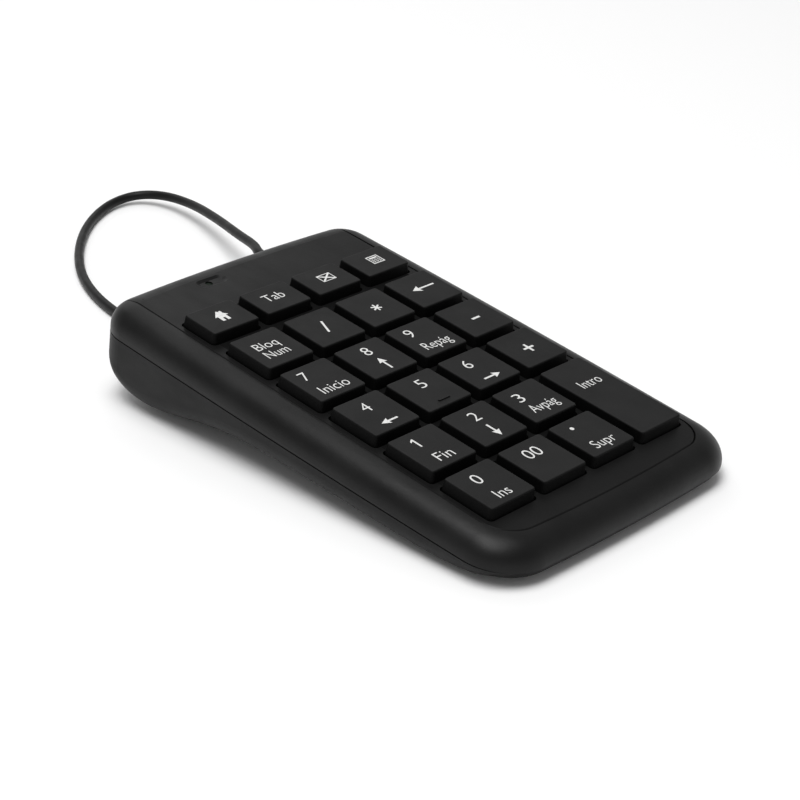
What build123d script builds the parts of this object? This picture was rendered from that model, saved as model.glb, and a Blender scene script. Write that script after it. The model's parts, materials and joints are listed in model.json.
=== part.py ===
"""Numeric keypad with a membrane switch stack, a controller board and a USB cord.

Millimetres, +Z up. The origin is on the table, under the middle of the case. The keys and the
deck lie on a plane that rises towards the rear, so most parts are drawn from that plane, called
deck here: its x runs to the right, its y to the rear, and its zero height is the key tops.
"""

import os
from math import atan, cos, degrees, pi, radians, sin, tan

from build123d import *

# --- Placing of the key plane ---------------------------------------------------------------
TILT = 7.0
DECK_ORIGIN_Y = -4.76
DECK_ORIGIN_Z = 22.0

# --- Case, in the key plane's directions ----------------------------------------------------
FRONT_HALF_WIDTH = 45.7
REAR_HALF_WIDTH = 46.3
MIDDLE_HALF_WIDTH = 46.8
CASE_FRONT = -71.1
FRONT_BOW = 1.4
CASE_REAR = 78.0
REAR_BOW = 1.6
FRONT_CORNER = 14.0
REAR_CORNER = 10.0
SHOULDER_WIDTH = 7.8
SHOULDER_HEIGHT = 6.4
CASE_SINK = 16.0
COVER_WALL = 3.2
SEAM_HEIGHT = -10.15
SEAM_TILT = -0.6
SEAM_GAP = 0.35
LAP_HEIGHT = 1.4
LAP_CLEARANCE = 0.15
LAP_OUTER = 1.0
CASE_WALL = 2.0
BOTTOM_EDGE_RADIUS = 5.0
BOTTOM_LEAN = 0.65
RIB_THICKNESS = 1.2
RIB_HALF_LENGTH = 36.0
RIB_ROWS = (-42.0, -18.0, 6.0, 30.0, 52.0)

# --- Deck plate -----------------------------------------------------------------------------
DECK_TOP = -3.05
DECK_THICKNESS = 2.0
INSERT_HALF_WIDTH = 38.75
INSERT_FRONT = -64.0
INSERT_FRONT_BOW = 1.5
INSERT_CORNER = 9.0
INSERT_GAP = 0.25
INSERT_EDGE = 0.3
LED_X = -15.2
LED_Y = 67.5
LED_HOLE_RADIUS = 1.1
LED_DIMPLE_LENGTH = 10.0
LED_DIMPLE_WIDTH = 4.2
LED_DIMPLE_SHIFT = 1.0
LED_DIMPLE_DEPTH = 0.4
LED_DIMPLE_SLOPE = 68

# --- Keys -----------------------------------------------------------------------------------
PITCH = 19.0
COLUMNS = (-1.5 * PITCH, -0.5 * PITCH, 0.5 * PITCH, 1.5 * PITCH)
ROWS = (2.5 * PITCH, 1.5 * PITCH, 0.5 * PITCH, -0.5 * PITCH, -1.5 * PITCH, -2.5 * PITCH)
KEY_WIDTH = 15.72
KEY_DEPTH = 15.64
SHORT_KEY_DEPTH = 12.0
KEY_CORNER = 0.9
KEY_FLARE = 0.34
KEY_EDGE = 0.45
KEY_TRAVEL = 2.4
CAP_BOTTOM = -5.3
CAP_WALL = 1.2
CAP_ROOF = 1.4
KEY_OPENING_GAP = 0.4
HOMING_BAR = (4.2, 0.7, 0.35)
KEY_NAMES = (
    ("home", "tab", "mail", "calculator"),
    ("num_lock", "divide", "multiply", "backspace"),
    ("7", "8", "9", "minus"),
    ("4", "5", "6", "plus"),
    ("1", "2", "3", "enter"),
    ("0", "00", "decimal"),
)

# --- Switch stack, heights from the key plane -----------------------------------------------
KEY_STOP_GAP = 0.2
GUIDE_TOP = CAP_BOTTOM - KEY_TRAVEL - KEY_STOP_GAP
GUIDE_THICKNESS = 0.8
GUIDE_GAP = 0.3
STEM_SIZE = 4.8
STEM_BORE = 2.4
STEM_EAR = 0.6
EAR_TOP = -8.8
STEM_BOTTOM = -9.3
DOME_TOP = -9.45
DOME_SHEET_TOP = -11.8
DOME_SHEET_THICKNESS = 0.5
DOME_BASE_RADIUS = 4.2
DOME_CROWN_RADIUS = 2.6
DOME_WALL = 0.5
FOIL_THICKNESS = 0.15
BACKING_THICKNESS = 0.5
STACK_HALF_WIDTH = 38.0
STACK_FRONT = -54.5
STACK_REAR = 55.5
CONTACT_RADIUS = 1.5

# --- Stabiliser bar of the tall enter key ---------------------------------------------------
BAR_RADIUS = 0.6
BAR_PIVOT_X = -5.4
BAR_PIVOT_HEIGHT = -7.2
BAR_HOOK_X = 4.6
BAR_HOOK_HEIGHT = -3.9
BAR_HALF_SPAN = 11.5
LUG_THICKNESS = 1.2
LUG_WIDTH = 4.2
LUG_SLOT_WIDTH = 2.4
LUG_SLOT_HEIGHT = 1.8

# --- Board, lamp and tail clamp -------------------------------------------------------------
BOARD_THICKNESS = 1.6
BOARD_LEFT = -30.0
BOARD_RIGHT = 35.5
BOARD_FRONT = 57.0
BOARD_REAR = 73.5
TAIL_X = (-14.0, 10.0)
TAIL_REAR = 65.0
CLAMP_FRONT = 60.5
CLAMP_REAR = 64.5
CLAMP_HALF_LENGTH = 18.5
CLAMP_MARGIN = 0.5
CLAMP_POST_RADIUS = 2.0
PAD_THICKNESS = 1.2
CLAMP_THICKNESS = 1.8
BOARD_SCREW_PLACES = ((-16.0, 62.5), (16.0, 62.5))
BOARD_SCREW_RADIUS = 0.9
BOARD_SCREW_HEAD_RADIUS = 1.9
BOARD_SCREW_HEAD_HEIGHT = 1.2
BOARD_SCREW_DEPTH = 5.0
BOARD_TOWER_RADIUS = 2.6
BOARD_POST_RADIUS = 2.2
BOARD_POST_PLACES = ((-26.5, 60.5), (24.4, 60.0))
CHIP = (16.0, 25.0, 66.0, 72.0)
CHIP_HEIGHT = 1.4
HEADER = (27.0, 35.0, 60.0, 65.5)
HEADER_HEIGHT = 5.6
LAMP_FLANGE_RADIUS = 1.9
LAMP_FLANGE_HEIGHT = 0.8
LAMP_RADIUS = 1.5
LAMP_HEIGHT = 4.0
LAMP_DOME_RADIUS = 1.3
LIGHT_PIPE_GAP = 0.2
LIGHT_PIPE_STEP = 0.7
LIGHT_PIPE_RECESS = 0.75
LIGHT_PIPE_CLEARANCE = 0.05

# --- Screws and feet ------------------------------------------------------------------------
CASE_SCREW_PLACES = ((-32.5, -60.0), (32.5, -60.0), (-39.4, 63.5), (39.4, 63.5))
SCREW_HEAD_SEATS = (-11.9, -14.0)
SCREW_TIP = -6.0
SCREW_RADIUS = 1.25
SCREW_HEAD_RADIUS = 2.3
SCREW_HEAD_HEIGHT = 1.4
BOSS_RADIUS = 3.2
FOOT_RADIUS = 4.5
FEET = (
    (((-33.0, -52.6), (33.0, -52.6)), 1.8),
    (((-35.0, 51.6), (35.0, 51.6)), 2.8),
)

# --- Cord and plug, in table directions -----------------------------------------------------
CORD_DIAMETER = 2.9
CORD_RADIUS = CORD_DIAMETER / 2
CORD_EXIT_X = 33.0
CORD_EXIT_HEIGHT = 11.5
HEADER_REACH = 62.4
RELIEF_INSIDE = 65.3
RELIEF_NECK = 66.8
RELIEF_COLLAR = 74.3
RELIEF_TAPER = 75.6
RELIEF_TIP = 87.0
RELIEF_FLANGE_RADIUS = 3.1
RELIEF_COLLAR_RADIUS = 2.9
RELIEF_GROOVES = (77.4, 79.6, 81.8, 84.0)
RELIEF_GROOVE_WIDTH = 0.9
RELIEF_CORE_RADIUS = 1.75
RELIEF_NECK_RADIUS = 2.6
RELIEF_TIP_RADIUS = 2.0
CORD_ROUTE = (
    (33.0, 87.0, 11.5),
    (34.2, 96.0, 11.5),
    (38.7, 102.5, 11.1),
    (42.9, 114.5, 9.8),
    (51.0, 133.6, 7.4),
    (57.3, 152.7, 5.2),
    (58.0, 167.3, 3.9),
    (53.5, 175.9, 2.8),
    (44.9, 177.5, 2.0),
    (34.1, 173.3, 1.6),
    (22.1, 164.7, 1.45),
    (10.0, 152.4, 1.45),
    (-0.7, 137.6, 1.45),
    (-7.9, 121.5, 1.45),
    (-12.0, 104.0, 1.7),
    (-13.0, 88.5, 1.95),
)
TAIL_ROUTE = (
    (34.0, 72.1, 4.95),
    (43.8, 71.9, 4.4),
    (51.2, 67.7, 3.9),
    (55.4, 60.3, 3.8),
    (55.5, 52.5, 3.8),
)
TIE_THICKNESS = 0.5
TIE_WIDTH = 9.0
HANK_LEFT = -1.1
HANK_RIGHT = 32.9
HANK_MIDDLE_Y = 84.0
HANK_OUTER_RADIUS = 11.9
HANK_PITCH = 3.0
HANK_LAYERS = 2
PLUG_X = 55.5
PLUG_HEIGHT = 3.8
PLUG_BACK = 52.5
PLUG_BODY_LENGTH = 27.0
PLUG_BODY_WIDTH = 14.6
PLUG_BODY_THICKNESS = 7.6
PLUG_BODY_CORNER = 1.6
PLUG_BODY_EDGE = 0.8
PLUG_NECK_LENGTH = 5.0
PLUG_NECK_WALL = 0.9
GRIP_GROOVES = 5
GRIP_GROOVE_PITCH = 1.7
GRIP_GROOVE_WIDTH = 0.8
GRIP_GROOVE_LENGTH = 9.0
GRIP_GROOVE_DEPTH = 0.35
GRIP_MIDDLE = 12.0
SHELL_LENGTH = 11.9
SHELL_WIDTH = 12.0
SHELL_THICKNESS = 4.5
SHELL_WALL = 0.35
SHELL_WINDOW = 2.5
SHELL_WINDOW_SPACING = 5.5
SHELL_WINDOW_PLACE = 6.5
TONGUE_THICKNESS = 1.9
TONGUE_LENGTH = 11.5
CONTACT_STRIP = (1.0, 0.2)
CONTACT_PITCH = 2.3
CONTACT_LENGTH = 10.7

deck = Plane(
    origin=(0, DECK_ORIGIN_Y, DECK_ORIGIN_Z),
    x_dir=(1, 0, 0),
    z_dir=(0, -sin(radians(TILT)), cos(radians(TILT))),
)
side_view = Plane(origin=deck.origin, x_dir=deck.y_dir, z_dir=deck.x_dir)
up = Axis(deck.origin, deck.z_dir)
seam = deck.offset(SEAM_HEIGHT).rotated((SEAM_TILT, 0, 0))
MEMBRANE_TOP = DOME_SHEET_TOP - DOME_SHEET_THICKNESS
BACKING_TOP = MEMBRANE_TOP - 3 * FOIL_THICKNESS
BACKING_BOTTOM = BACKING_TOP - BACKING_THICKNESS
TAIL_TOP = MEMBRANE_TOP - 2 * FOIL_THICKNESS
BOARD_TOP = BACKING_TOP
BOARD_SCREW_TIP = BOARD_TOP - BOARD_SCREW_DEPTH
BOARD_BOTTOM = BOARD_TOP - BOARD_THICKNESS


def cord_axis(y):
    """Upright plane across the cord's exit axis, at a distance y behind the middle of the case."""
    return Plane(origin=(CORD_EXIT_X, y, CORD_EXIT_HEIGHT), x_dir=(-1, 0, 0), z_dir=(0, 1, 0))


def save(part, name):
    """Label a finished piece and write it as its own STEP file."""
    part.label = name
    export_step(part, f"parts/{name}.step")


# --- Outlines and blanks of the case --------------------------------------------------------
def case_outline(inset):
    """Plan of the case: four shallow arcs with round corners, drawn in by inset."""
    front = CASE_FRONT + inset
    rear = CASE_REAR - inset
    left_front = (inset - FRONT_HALF_WIDTH, front + FRONT_BOW)
    right_front = (FRONT_HALF_WIDTH - inset, front + FRONT_BOW)
    left_rear = (inset - REAR_HALF_WIDTH, rear - REAR_BOW)
    right_rear = (REAR_HALF_WIDTH - inset, rear - REAR_BOW)
    with BuildSketch() as plan:
        with BuildLine():
            ThreePointArc(left_front, (0, front), right_front)
            ThreePointArc(right_front, (MIDDLE_HALF_WIDTH - inset, 0), right_rear)
            ThreePointArc(right_rear, (0, rear), left_rear)
            ThreePointArc(left_rear, (inset - MIDDLE_HALF_WIDTH, 0), left_front)
        make_face()
        fillet(plan.vertices().sort_by(Axis.Y)[:2], radius=FRONT_CORNER - inset)
        fillet(plan.vertices().sort_by(Axis.Y)[-2:], radius=REAR_CORNER - inset)
    return plan.sketch


def insert_outline(gap):
    """Plan of the deck plate, wider by gap all round, running out over the rear edge."""
    half = INSERT_HALF_WIDTH + gap
    front = INSERT_FRONT - gap
    rear = CASE_REAR + SHOULDER_WIDTH
    with BuildSketch() as plan:
        with BuildLine():
            ThreePointArc((-half, front + INSERT_FRONT_BOW), (0, front), (half, front + INSERT_FRONT_BOW))
            Polyline(
                (half, front + INSERT_FRONT_BOW),
                (half, rear),
                (-half, rear),
                (-half, front + INSERT_FRONT_BOW),
            )
        make_face()
        fillet(plan.vertices().sort_by(Axis.Y)[:2], radius=INSERT_CORNER + gap)
    return plan.sketch


def cover_blank(inset):
    """Solid under the upper surface, drawn in by inset all round: a core and a round shoulder."""
    width = SHOULDER_WIDTH - inset
    height = SHOULDER_HEIGHT - inset
    top = DECK_TOP - inset
    overlap = 0.5
    with BuildSketch(deck) as plan:
        add(case_outline(inset))
    rim = plan.sketch.face().outer_wire()
    outward = (rim % 0).cross(deck.z_dir)
    if (rim @ 0 + outward - deck.origin).length < (rim @ 0 - deck.origin).length:
        outward = -outward
    section = Plane(origin=rim @ 0, x_dir=-outward, z_dir=deck.z_dir.cross(outward))
    with BuildPart() as blank:
        with BuildSketch(deck.offset(top)):
            add(case_outline(inset + width - overlap))
        extrude(amount=-(CASE_SINK + top))
        with BuildSketch(section):
            with BuildLine():
                Polyline(
                    (width, top),
                    (width + overlap, top),
                    (width + overlap, -CASE_SINK),
                    (0, -CASE_SINK),
                    (0, top - height),
                )
                EllipticalCenterArc((width, top - height), width, height, 90, arc_size=90)
            make_face()
        sweep(path=rim)
    return blank.part


def bottom_profile():
    """Side view of the bottom case: a thin front that sweeps down into a round rear bulge."""
    with BuildSketch() as profile:
        with BuildLine():
            front = Line((-76, 0), (-76, -10.8))
            belly = Spline(
                front @ 1,
                (-66, -12.1),
                (-55, -14.6),
                (-38, -16.2),
                (-12, -16.9),
                (9, -17.8),
                (27, -19.8),
                (43, -23.9),
                (57, -27.0),
                (68, -25.6),
                (74.5, -20.4),
                (77.6, -14.5),
            )
            Polyline(belly @ 1, (79.5, -8), (79.5, 0), front @ 0)
        make_face()
    return profile.sketch


def bottom_blank(inset):
    """Solid inside the lower surface of the case, drawn in by inset, up to the key plane."""
    depth = 40
    with BuildPart() as blank:
        with BuildSketch(side_view):
            with Locations((-BOTTOM_LEAN * inset, inset)):
                add(bottom_profile())
        extrude(amount=MIDDLE_HALF_WIDTH + 1, both=True)
        with BuildSketch(deck.offset(-depth)):
            add(case_outline(inset))
        extrude(amount=depth, mode=Mode.INTERSECT)
    return blank.part


def wall_ring(outer_inset, inner_inset, bottom, top):
    """Upright ring that follows the case outline between two insets and two heights."""
    with BuildPart() as ring:
        with BuildSketch(deck.offset(bottom)):
            add(case_outline(outer_inset))
            add(case_outline(inner_inset), mode=Mode.SUBTRACT)
        extrude(amount=top - bottom)
    return ring.part


def lap_rabbet():
    """Room that the bottom case's lap lip needs inside the foot of the cover's walls."""
    ring = wall_ring(LAP_OUTER, COVER_WALL + 1, -CASE_SINK, -CASE_SINK / 2)
    return split(ring, bisect_by=seam.offset(LAP_HEIGHT + LAP_CLEARANCE), keep=Keep.BOTTOM)


def key_field():
    """Each key's name, centre, depth and a flag for the tall enter key."""
    keys = []
    for row, names in enumerate(KEY_NAMES):
        for column, name in enumerate(names):
            depth = SHORT_KEY_DEPTH if row == 0 else KEY_DEPTH
            centre = (COLUMNS[column], ROWS[row])
            if name == "enter":
                depth = KEY_DEPTH + PITCH
                centre = (COLUMNS[column], ROWS[row] - PITCH / 2)
            keys.append((name, centre, depth))
    return keys


KEYS = key_field()


# --- Case parts -----------------------------------------------------------------------------
def make_upper_case():
    """Upper frame: a round-shouldered rim and an inner ledge that carries the deck plate."""
    skin = cover_blank(0)
    under_deck = cover_blank(DECK_THICKNESS)
    hollow = cover_blank(COVER_WALL)
    with BuildPart() as pocket:
        add(skin)
        add(under_deck, mode=Mode.SUBTRACT)
        with BuildSketch(deck.offset(-CASE_SINK)):
            add(insert_outline(INSERT_GAP))
        extrude(amount=2 * CASE_SINK, mode=Mode.INTERSECT)
    rabbet = lap_rabbet()
    ledge_bottom = DECK_TOP - COVER_WALL
    window_rear = ROWS[0] + SHORT_KEY_DEPTH / 2 + 2
    window_front = ROWS[-1] - KEY_DEPTH / 2 - 2
    with BuildPart() as case:
        add(skin)
        add(hollow, mode=Mode.SUBTRACT)
        add(pocket.part, mode=Mode.SUBTRACT)
        with BuildSketch(deck.offset(ledge_bottom - 1)):
            with Locations((0, (window_rear + window_front) / 2)):
                RectangleRounded(2 * STACK_HALF_WIDTH, window_rear - window_front, 2)
        extrude(amount=4, mode=Mode.SUBTRACT)
        with BuildSketch(deck.offset(ledge_bottom)):
            with Locations(*CASE_SCREW_PLACES):
                Circle(BOSS_RADIUS)
        extrude(amount=-4.2)
        split(bisect_by=seam, keep=Keep.TOP)
        add(rabbet, mode=Mode.SUBTRACT)
        with BuildSketch(deck.offset(ledge_bottom + 0.4)):
            with Locations(*CASE_SCREW_PLACES):
                Circle(SCREW_RADIUS)
        extrude(amount=-8, mode=Mode.SUBTRACT)
        with BuildSketch(deck.offset(ledge_bottom - 1)):
            with Locations((LED_X, LED_Y)):
                Circle(LED_HOLE_RADIUS + 0.8)
        extrude(amount=4, mode=Mode.SUBTRACT)
    return case.part


def make_key_deck():
    """Deck plate with one opening per key, rolled down over the rear edge."""
    skin = cover_blank(0)
    under_deck = cover_blank(DECK_THICKNESS)
    rabbet = lap_rabbet()
    with BuildPart() as plate:
        with BuildSketch(deck.offset(-CASE_SINK)):
            add(insert_outline(0))
        extrude(amount=CASE_SINK + DECK_TOP)
        top_edges = plate.faces().sort_by(up)[-1].edges()
        chamfer(top_edges.sort_by(Axis.Y)[:-1], INSERT_EDGE)
        add(skin, mode=Mode.INTERSECT)
        add(under_deck, mode=Mode.SUBTRACT)
        add(rabbet, mode=Mode.SUBTRACT)
        split(bisect_by=seam, keep=Keep.TOP)
        with BuildSketch(deck.offset(DECK_TOP - DECK_THICKNESS - 1)):
            for _, centre, depth in KEYS:
                grow = 2 * (KEY_FLARE + KEY_OPENING_GAP)
                with Locations(centre):
                    RectangleRounded(KEY_WIDTH + grow, depth + grow, KEY_CORNER + KEY_OPENING_GAP)
        extrude(amount=DECK_THICKNESS + 2, mode=Mode.SUBTRACT)
        with BuildSketch(deck.offset(DECK_TOP - DECK_THICKNESS - 1)):
            with Locations((LED_X, LED_Y)):
                Circle(LED_HOLE_RADIUS)
        extrude(amount=DECK_THICKNESS + 2, mode=Mode.SUBTRACT)
        with BuildSketch(deck.offset(DECK_TOP)):
            with Locations((LED_X + LED_DIMPLE_SHIFT, LED_Y)):
                SlotOverall(LED_DIMPLE_LENGTH, LED_DIMPLE_WIDTH)
        extrude(amount=-LED_DIMPLE_DEPTH, taper=LED_DIMPLE_SLOPE, mode=Mode.SUBTRACT)
    return plate.part


def make_bottom_case():
    """Bottom shell with a lap lip, ribs, screw towers, board posts, foot recesses and cord hole."""
    outer = bottom_blank(0)
    with BuildPart() as shell:
        add(outer)
        low_edges = shell.edges().filter_by(
            lambda edge: deck.to_local_coords(edge.center()).Z < SEAM_HEIGHT
            and abs((edge % 0.5).dot(deck.z_dir)) < 0.9
        )
        fillet(low_edges, BOTTOM_EDGE_RADIUS)
    body = shell.part
    hollow = bottom_blank(CASE_WALL)
    lip = wall_ring(LAP_OUTER + LAP_CLEARANCE, CASE_WALL + 0.4, -CASE_SINK, SEAM_HEIGHT + 4)
    lip = split(lip, bisect_by=seam.offset(LAP_HEIGHT), keep=Keep.BOTTOM)
    lip = split(lip, bisect_by=seam.offset(-2), keep=Keep.TOP)
    with BuildPart() as inner_works:
        with BuildSketch(deck.offset(BACKING_BOTTOM)):
            for y in RIB_ROWS:
                with Locations((0, y)):
                    Rectangle(2 * RIB_HALF_LENGTH, RIB_THICKNESS)
        extrude(amount=-20)
        with BuildSketch(deck.offset(SEAM_HEIGHT - 0.6)):
            with Locations(*CASE_SCREW_PLACES):
                Circle(BOSS_RADIUS)
        extrude(amount=-25)
        with BuildSketch(deck.offset(BOARD_BOTTOM)):
            with Locations(*BOARD_POST_PLACES):
                Circle(BOARD_POST_RADIUS)
            with Locations(*BOARD_SCREW_PLACES):
                Circle(BOARD_TOWER_RADIUS)
        extrude(amount=-20)
        add(body, mode=Mode.INTERSECT)
    with BuildPart() as case:
        add(body)
        add(hollow, mode=Mode.SUBTRACT)
        split(bisect_by=seam.offset(-SEAM_GAP), keep=Keep.BOTTOM)
        add(lip)
        add(inner_works.part)
        for x, y in CASE_SCREW_PLACES:
            head = SCREW_HEAD_SEATS[y > 0]
            with BuildSketch(deck.offset(head)):
                with Locations((x, y)):
                    Circle(SCREW_HEAD_RADIUS + 0.4)
            extrude(amount=-30, mode=Mode.SUBTRACT)
            with BuildSketch(deck.offset(0)):
                with Locations((x, y)):
                    Circle(SCREW_RADIUS + 0.2)
            extrude(amount=-40, mode=Mode.SUBTRACT)
        with BuildSketch(cord_axis(RELIEF_INSIDE)):
            Circle(RELIEF_NECK_RADIUS + 0.1)
        extrude(amount=RELIEF_TAPER - RELIEF_INSIDE, mode=Mode.SUBTRACT)
        for places, top in FEET:
            with BuildSketch():
                with Locations(*places):
                    Circle(FOOT_RADIUS)
            extrude(amount=top, mode=Mode.SUBTRACT)
        with BuildSketch(deck.offset(BOARD_BOTTOM)):
            with Locations(*BOARD_SCREW_PLACES):
                Circle(BOARD_SCREW_RADIUS)
        extrude(amount=BOARD_SCREW_TIP - BOARD_BOTTOM, mode=Mode.SUBTRACT)
        with BuildSketch(deck.offset(BACKING_BOTTOM)):
            with Locations((0, (STACK_FRONT + STACK_REAR) / 2)):
                Rectangle(2 * STACK_HALF_WIDTH + 0.4, STACK_REAR - STACK_FRONT + 0.4)
        extrude(amount=BACKING_THICKNESS + 1, mode=Mode.SUBTRACT)
    return case.part


# --- Keys -----------------------------------------------------------------------------------
def make_keycap(centre, depth, with_lugs=False, with_bar=False):
    """Hollow flared cap with a guided stem; the tall cap also has lugs for its wire bar."""
    x, y = centre
    wall_height = -DECK_TOP
    flare_angle = degrees(atan(KEY_FLARE / wall_height))
    base_width = KEY_WIDTH + 2 * KEY_FLARE
    base_depth = depth + 2 * KEY_FLARE
    with BuildPart() as cap:
        with BuildSketch(deck.offset(DECK_TOP)):
            with Locations(centre):
                RectangleRounded(base_width, base_depth, KEY_CORNER + KEY_FLARE)
        extrude(amount=wall_height, taper=flare_angle)
        with BuildSketch(deck.offset(DECK_TOP)):
            with Locations(centre):
                RectangleRounded(base_width, base_depth, KEY_CORNER + KEY_FLARE)
        extrude(amount=CAP_BOTTOM - DECK_TOP)
        fillet(cap.faces().sort_by(up)[-1].edges(), KEY_EDGE)
        with BuildSketch(deck.offset(CAP_BOTTOM)):
            with Locations(centre):
                RectangleRounded(base_width - 2 * CAP_WALL, base_depth - 2 * CAP_WALL, 0.5)
        extrude(amount=-CAP_BOTTOM - CAP_ROOF, taper=flare_angle / 2, mode=Mode.SUBTRACT)
        with BuildSketch(deck.offset(-CAP_ROOF + 0.2)):
            with Locations(centre):
                Rectangle(STEM_SIZE, STEM_SIZE)
        extrude(amount=STEM_BOTTOM + CAP_ROOF - 0.2)
        with BuildSketch(deck.offset(EAR_TOP)):
            with Locations(centre):
                Rectangle(STEM_SIZE + 2 * STEM_EAR, STEM_SIZE / 3)
        extrude(amount=STEM_BOTTOM - EAR_TOP)
        with BuildSketch(deck.offset(STEM_BOTTOM)):
            with Locations(centre):
                Rectangle(STEM_BORE, STEM_BORE)
        extrude(amount=-CAP_ROOF - STEM_BOTTOM, mode=Mode.SUBTRACT)
        if with_lugs:
            lug_x = x + BAR_HOOK_X + 0.25
            lug_y = BAR_HALF_SPAN + BAR_RADIUS + LUG_THICKNESS
            with BuildSketch(deck.offset(-CAP_ROOF + 0.2)):
                with Locations((lug_x, y - lug_y), (lug_x, y + lug_y)):
                    Rectangle(LUG_WIDTH, LUG_THICKNESS)
            extrude(amount=CAP_BOTTOM + CAP_ROOF - 0.2)
            with BuildSketch(deck.offset(BAR_HOOK_HEIGHT - LUG_SLOT_HEIGHT / 2)):
                with Locations((lug_x, y - lug_y), (lug_x, y + lug_y)):
                    Rectangle(LUG_SLOT_WIDTH, LUG_THICKNESS + 0.2)
            extrude(amount=LUG_SLOT_HEIGHT, mode=Mode.SUBTRACT)
        if with_bar:
            length, width, height = HOMING_BAR
            with BuildSketch(deck):
                with Locations((x, y - depth / 2 + 2.6)):
                    SlotOverall(length, width)
            extrude(amount=height)
    return cap.part


def make_enter_stabilizer(centre):
    """Bent wire bar that keeps the tall key level: a pivot length, two arms and two hooks."""
    x, y = centre
    pivot = (x + BAR_PIVOT_X, BAR_PIVOT_HEIGHT)
    hook = (x + BAR_HOOK_X, BAR_HOOK_HEIGHT)
    hook_length = BAR_RADIUS + 1.5 * LUG_THICKNESS
    corners = [
        (hook[0], y - BAR_HALF_SPAN - hook_length, hook[1]),
        (hook[0], y - BAR_HALF_SPAN, hook[1]),
        (pivot[0], y - BAR_HALF_SPAN, pivot[1]),
        (pivot[0], y + BAR_HALF_SPAN, pivot[1]),
        (hook[0], y + BAR_HALF_SPAN, hook[1]),
        (hook[0], y + BAR_HALF_SPAN + hook_length, hook[1]),
    ]
    points = [deck.from_local_coords(corner) for corner in corners]
    with BuildPart() as bar:
        with BuildLine() as path:
            FilletPolyline(*points, radius=1.1)
        with BuildSketch(Plane(origin=path.line @ 0, z_dir=path.line % 0)):
            Circle(BAR_RADIUS)
        sweep(path=path.line)
    return bar.part


# --- Switch stack ---------------------------------------------------------------------------
def make_key_guide():
    """Thin plate with one square guide hole per stem and clips for the wire bar."""
    with BuildPart() as guide:
        with BuildSketch(deck.offset(GUIDE_TOP)):
            with Locations((0, (STACK_FRONT + STACK_REAR) / 2)):
                RectangleRounded(2 * STACK_HALF_WIDTH + 4, STACK_REAR - STACK_FRONT + 3, 2)
            for _, centre, _ in KEYS:
                with Locations(centre):
                    Rectangle(STEM_SIZE + 2 * GUIDE_GAP, STEM_SIZE + 2 * GUIDE_GAP, mode=Mode.SUBTRACT)
        extrude(amount=-GUIDE_THICKNESS)
        for name, (x, y), _ in KEYS:
            if name == "enter":
                clip_places = [
                    (x + BAR_PIVOT_X + side * (BAR_RADIUS + 0.45), y + row)
                    for side in (-1, 1)
                    for row in (-6, 6)
                ]
                with BuildSketch(deck.offset(GUIDE_TOP - 0.2)):
                    with Locations(*clip_places):
                        Rectangle(0.6, 3)
                extrude(amount=1.4)
    return guide.part


def make_dome_sheet():
    """Rubber sheet with a hollow collapsing dome under each key stem."""
    dome_height = DOME_TOP - DOME_SHEET_TOP
    slope = degrees(atan((DOME_BASE_RADIUS - DOME_CROWN_RADIUS) / dome_height))
    with BuildPart() as sheet:
        with BuildSketch(deck.offset(MEMBRANE_TOP)):
            with Locations((0, (STACK_FRONT + STACK_REAR) / 2)):
                RectangleRounded(2 * STACK_HALF_WIDTH, STACK_REAR - STACK_FRONT, 2)
        extrude(amount=DOME_SHEET_THICKNESS)
        with BuildSketch(deck.offset(DOME_SHEET_TOP)):
            with Locations(*[centre for _, centre, _ in KEYS]):
                Circle(DOME_BASE_RADIUS)
        extrude(amount=dome_height, taper=slope)
        with BuildSketch(deck.offset(DOME_SHEET_TOP)):
            with Locations(*[centre for _, centre, _ in KEYS]):
                Circle(DOME_BASE_RADIUS - DOME_WALL)
        extrude(amount=dome_height - DOME_WALL, taper=slope, mode=Mode.SUBTRACT)
        with BuildSketch(deck.offset(MEMBRANE_TOP)):
            with Locations(*[centre for _, centre, _ in KEYS]):
                Circle(DOME_BASE_RADIUS - DOME_WALL)
        extrude(amount=DOME_SHEET_THICKNESS, mode=Mode.SUBTRACT)
    return sheet.part


def make_foil(level, with_tail=False, with_contact_holes=False):
    """One film of the contact membrane; level counts down from the dome sheet."""
    with BuildPart() as foil:
        with BuildSketch(deck.offset(MEMBRANE_TOP - level * FOIL_THICKNESS)):
            with Locations((0, (STACK_FRONT + STACK_REAR) / 2)):
                RectangleRounded(2 * STACK_HALF_WIDTH, STACK_REAR - STACK_FRONT, 2)
            if with_tail:
                with Locations((sum(TAIL_X) / 2, (STACK_REAR + TAIL_REAR) / 2 - 1)):
                    Rectangle(TAIL_X[1] - TAIL_X[0], TAIL_REAR - STACK_REAR + 2)
            if with_contact_holes:
                with Locations(*[centre for _, centre, _ in KEYS]):
                    Circle(CONTACT_RADIUS, mode=Mode.SUBTRACT)
        extrude(amount=-FOIL_THICKNESS)
    return foil.part


def make_backing_plate():
    """Steel plate that stiffens the membrane."""
    with BuildPart() as plate:
        with BuildSketch(deck.offset(BACKING_TOP)):
            with Locations((0, (STACK_FRONT + STACK_REAR) / 2)):
                RectangleRounded(2 * STACK_HALF_WIDTH, STACK_REAR - STACK_FRONT, 2)
        extrude(amount=-BACKING_THICKNESS)
    return plate.part


# --- Board and its parts --------------------------------------------------------------------
def slab(low_x, high_x, low_y, high_y, bottom, top, radius=0.5):
    """Flat block with rounded upright corners, in the key plane's directions."""
    with BuildPart() as block:
        with BuildSketch(deck.offset(bottom)):
            with Locations(((low_x + high_x) / 2, (low_y + high_y) / 2)):
                RectangleRounded(high_x - low_x, high_y - low_y, radius)
        extrude(amount=top - bottom)
    return block.part


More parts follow.
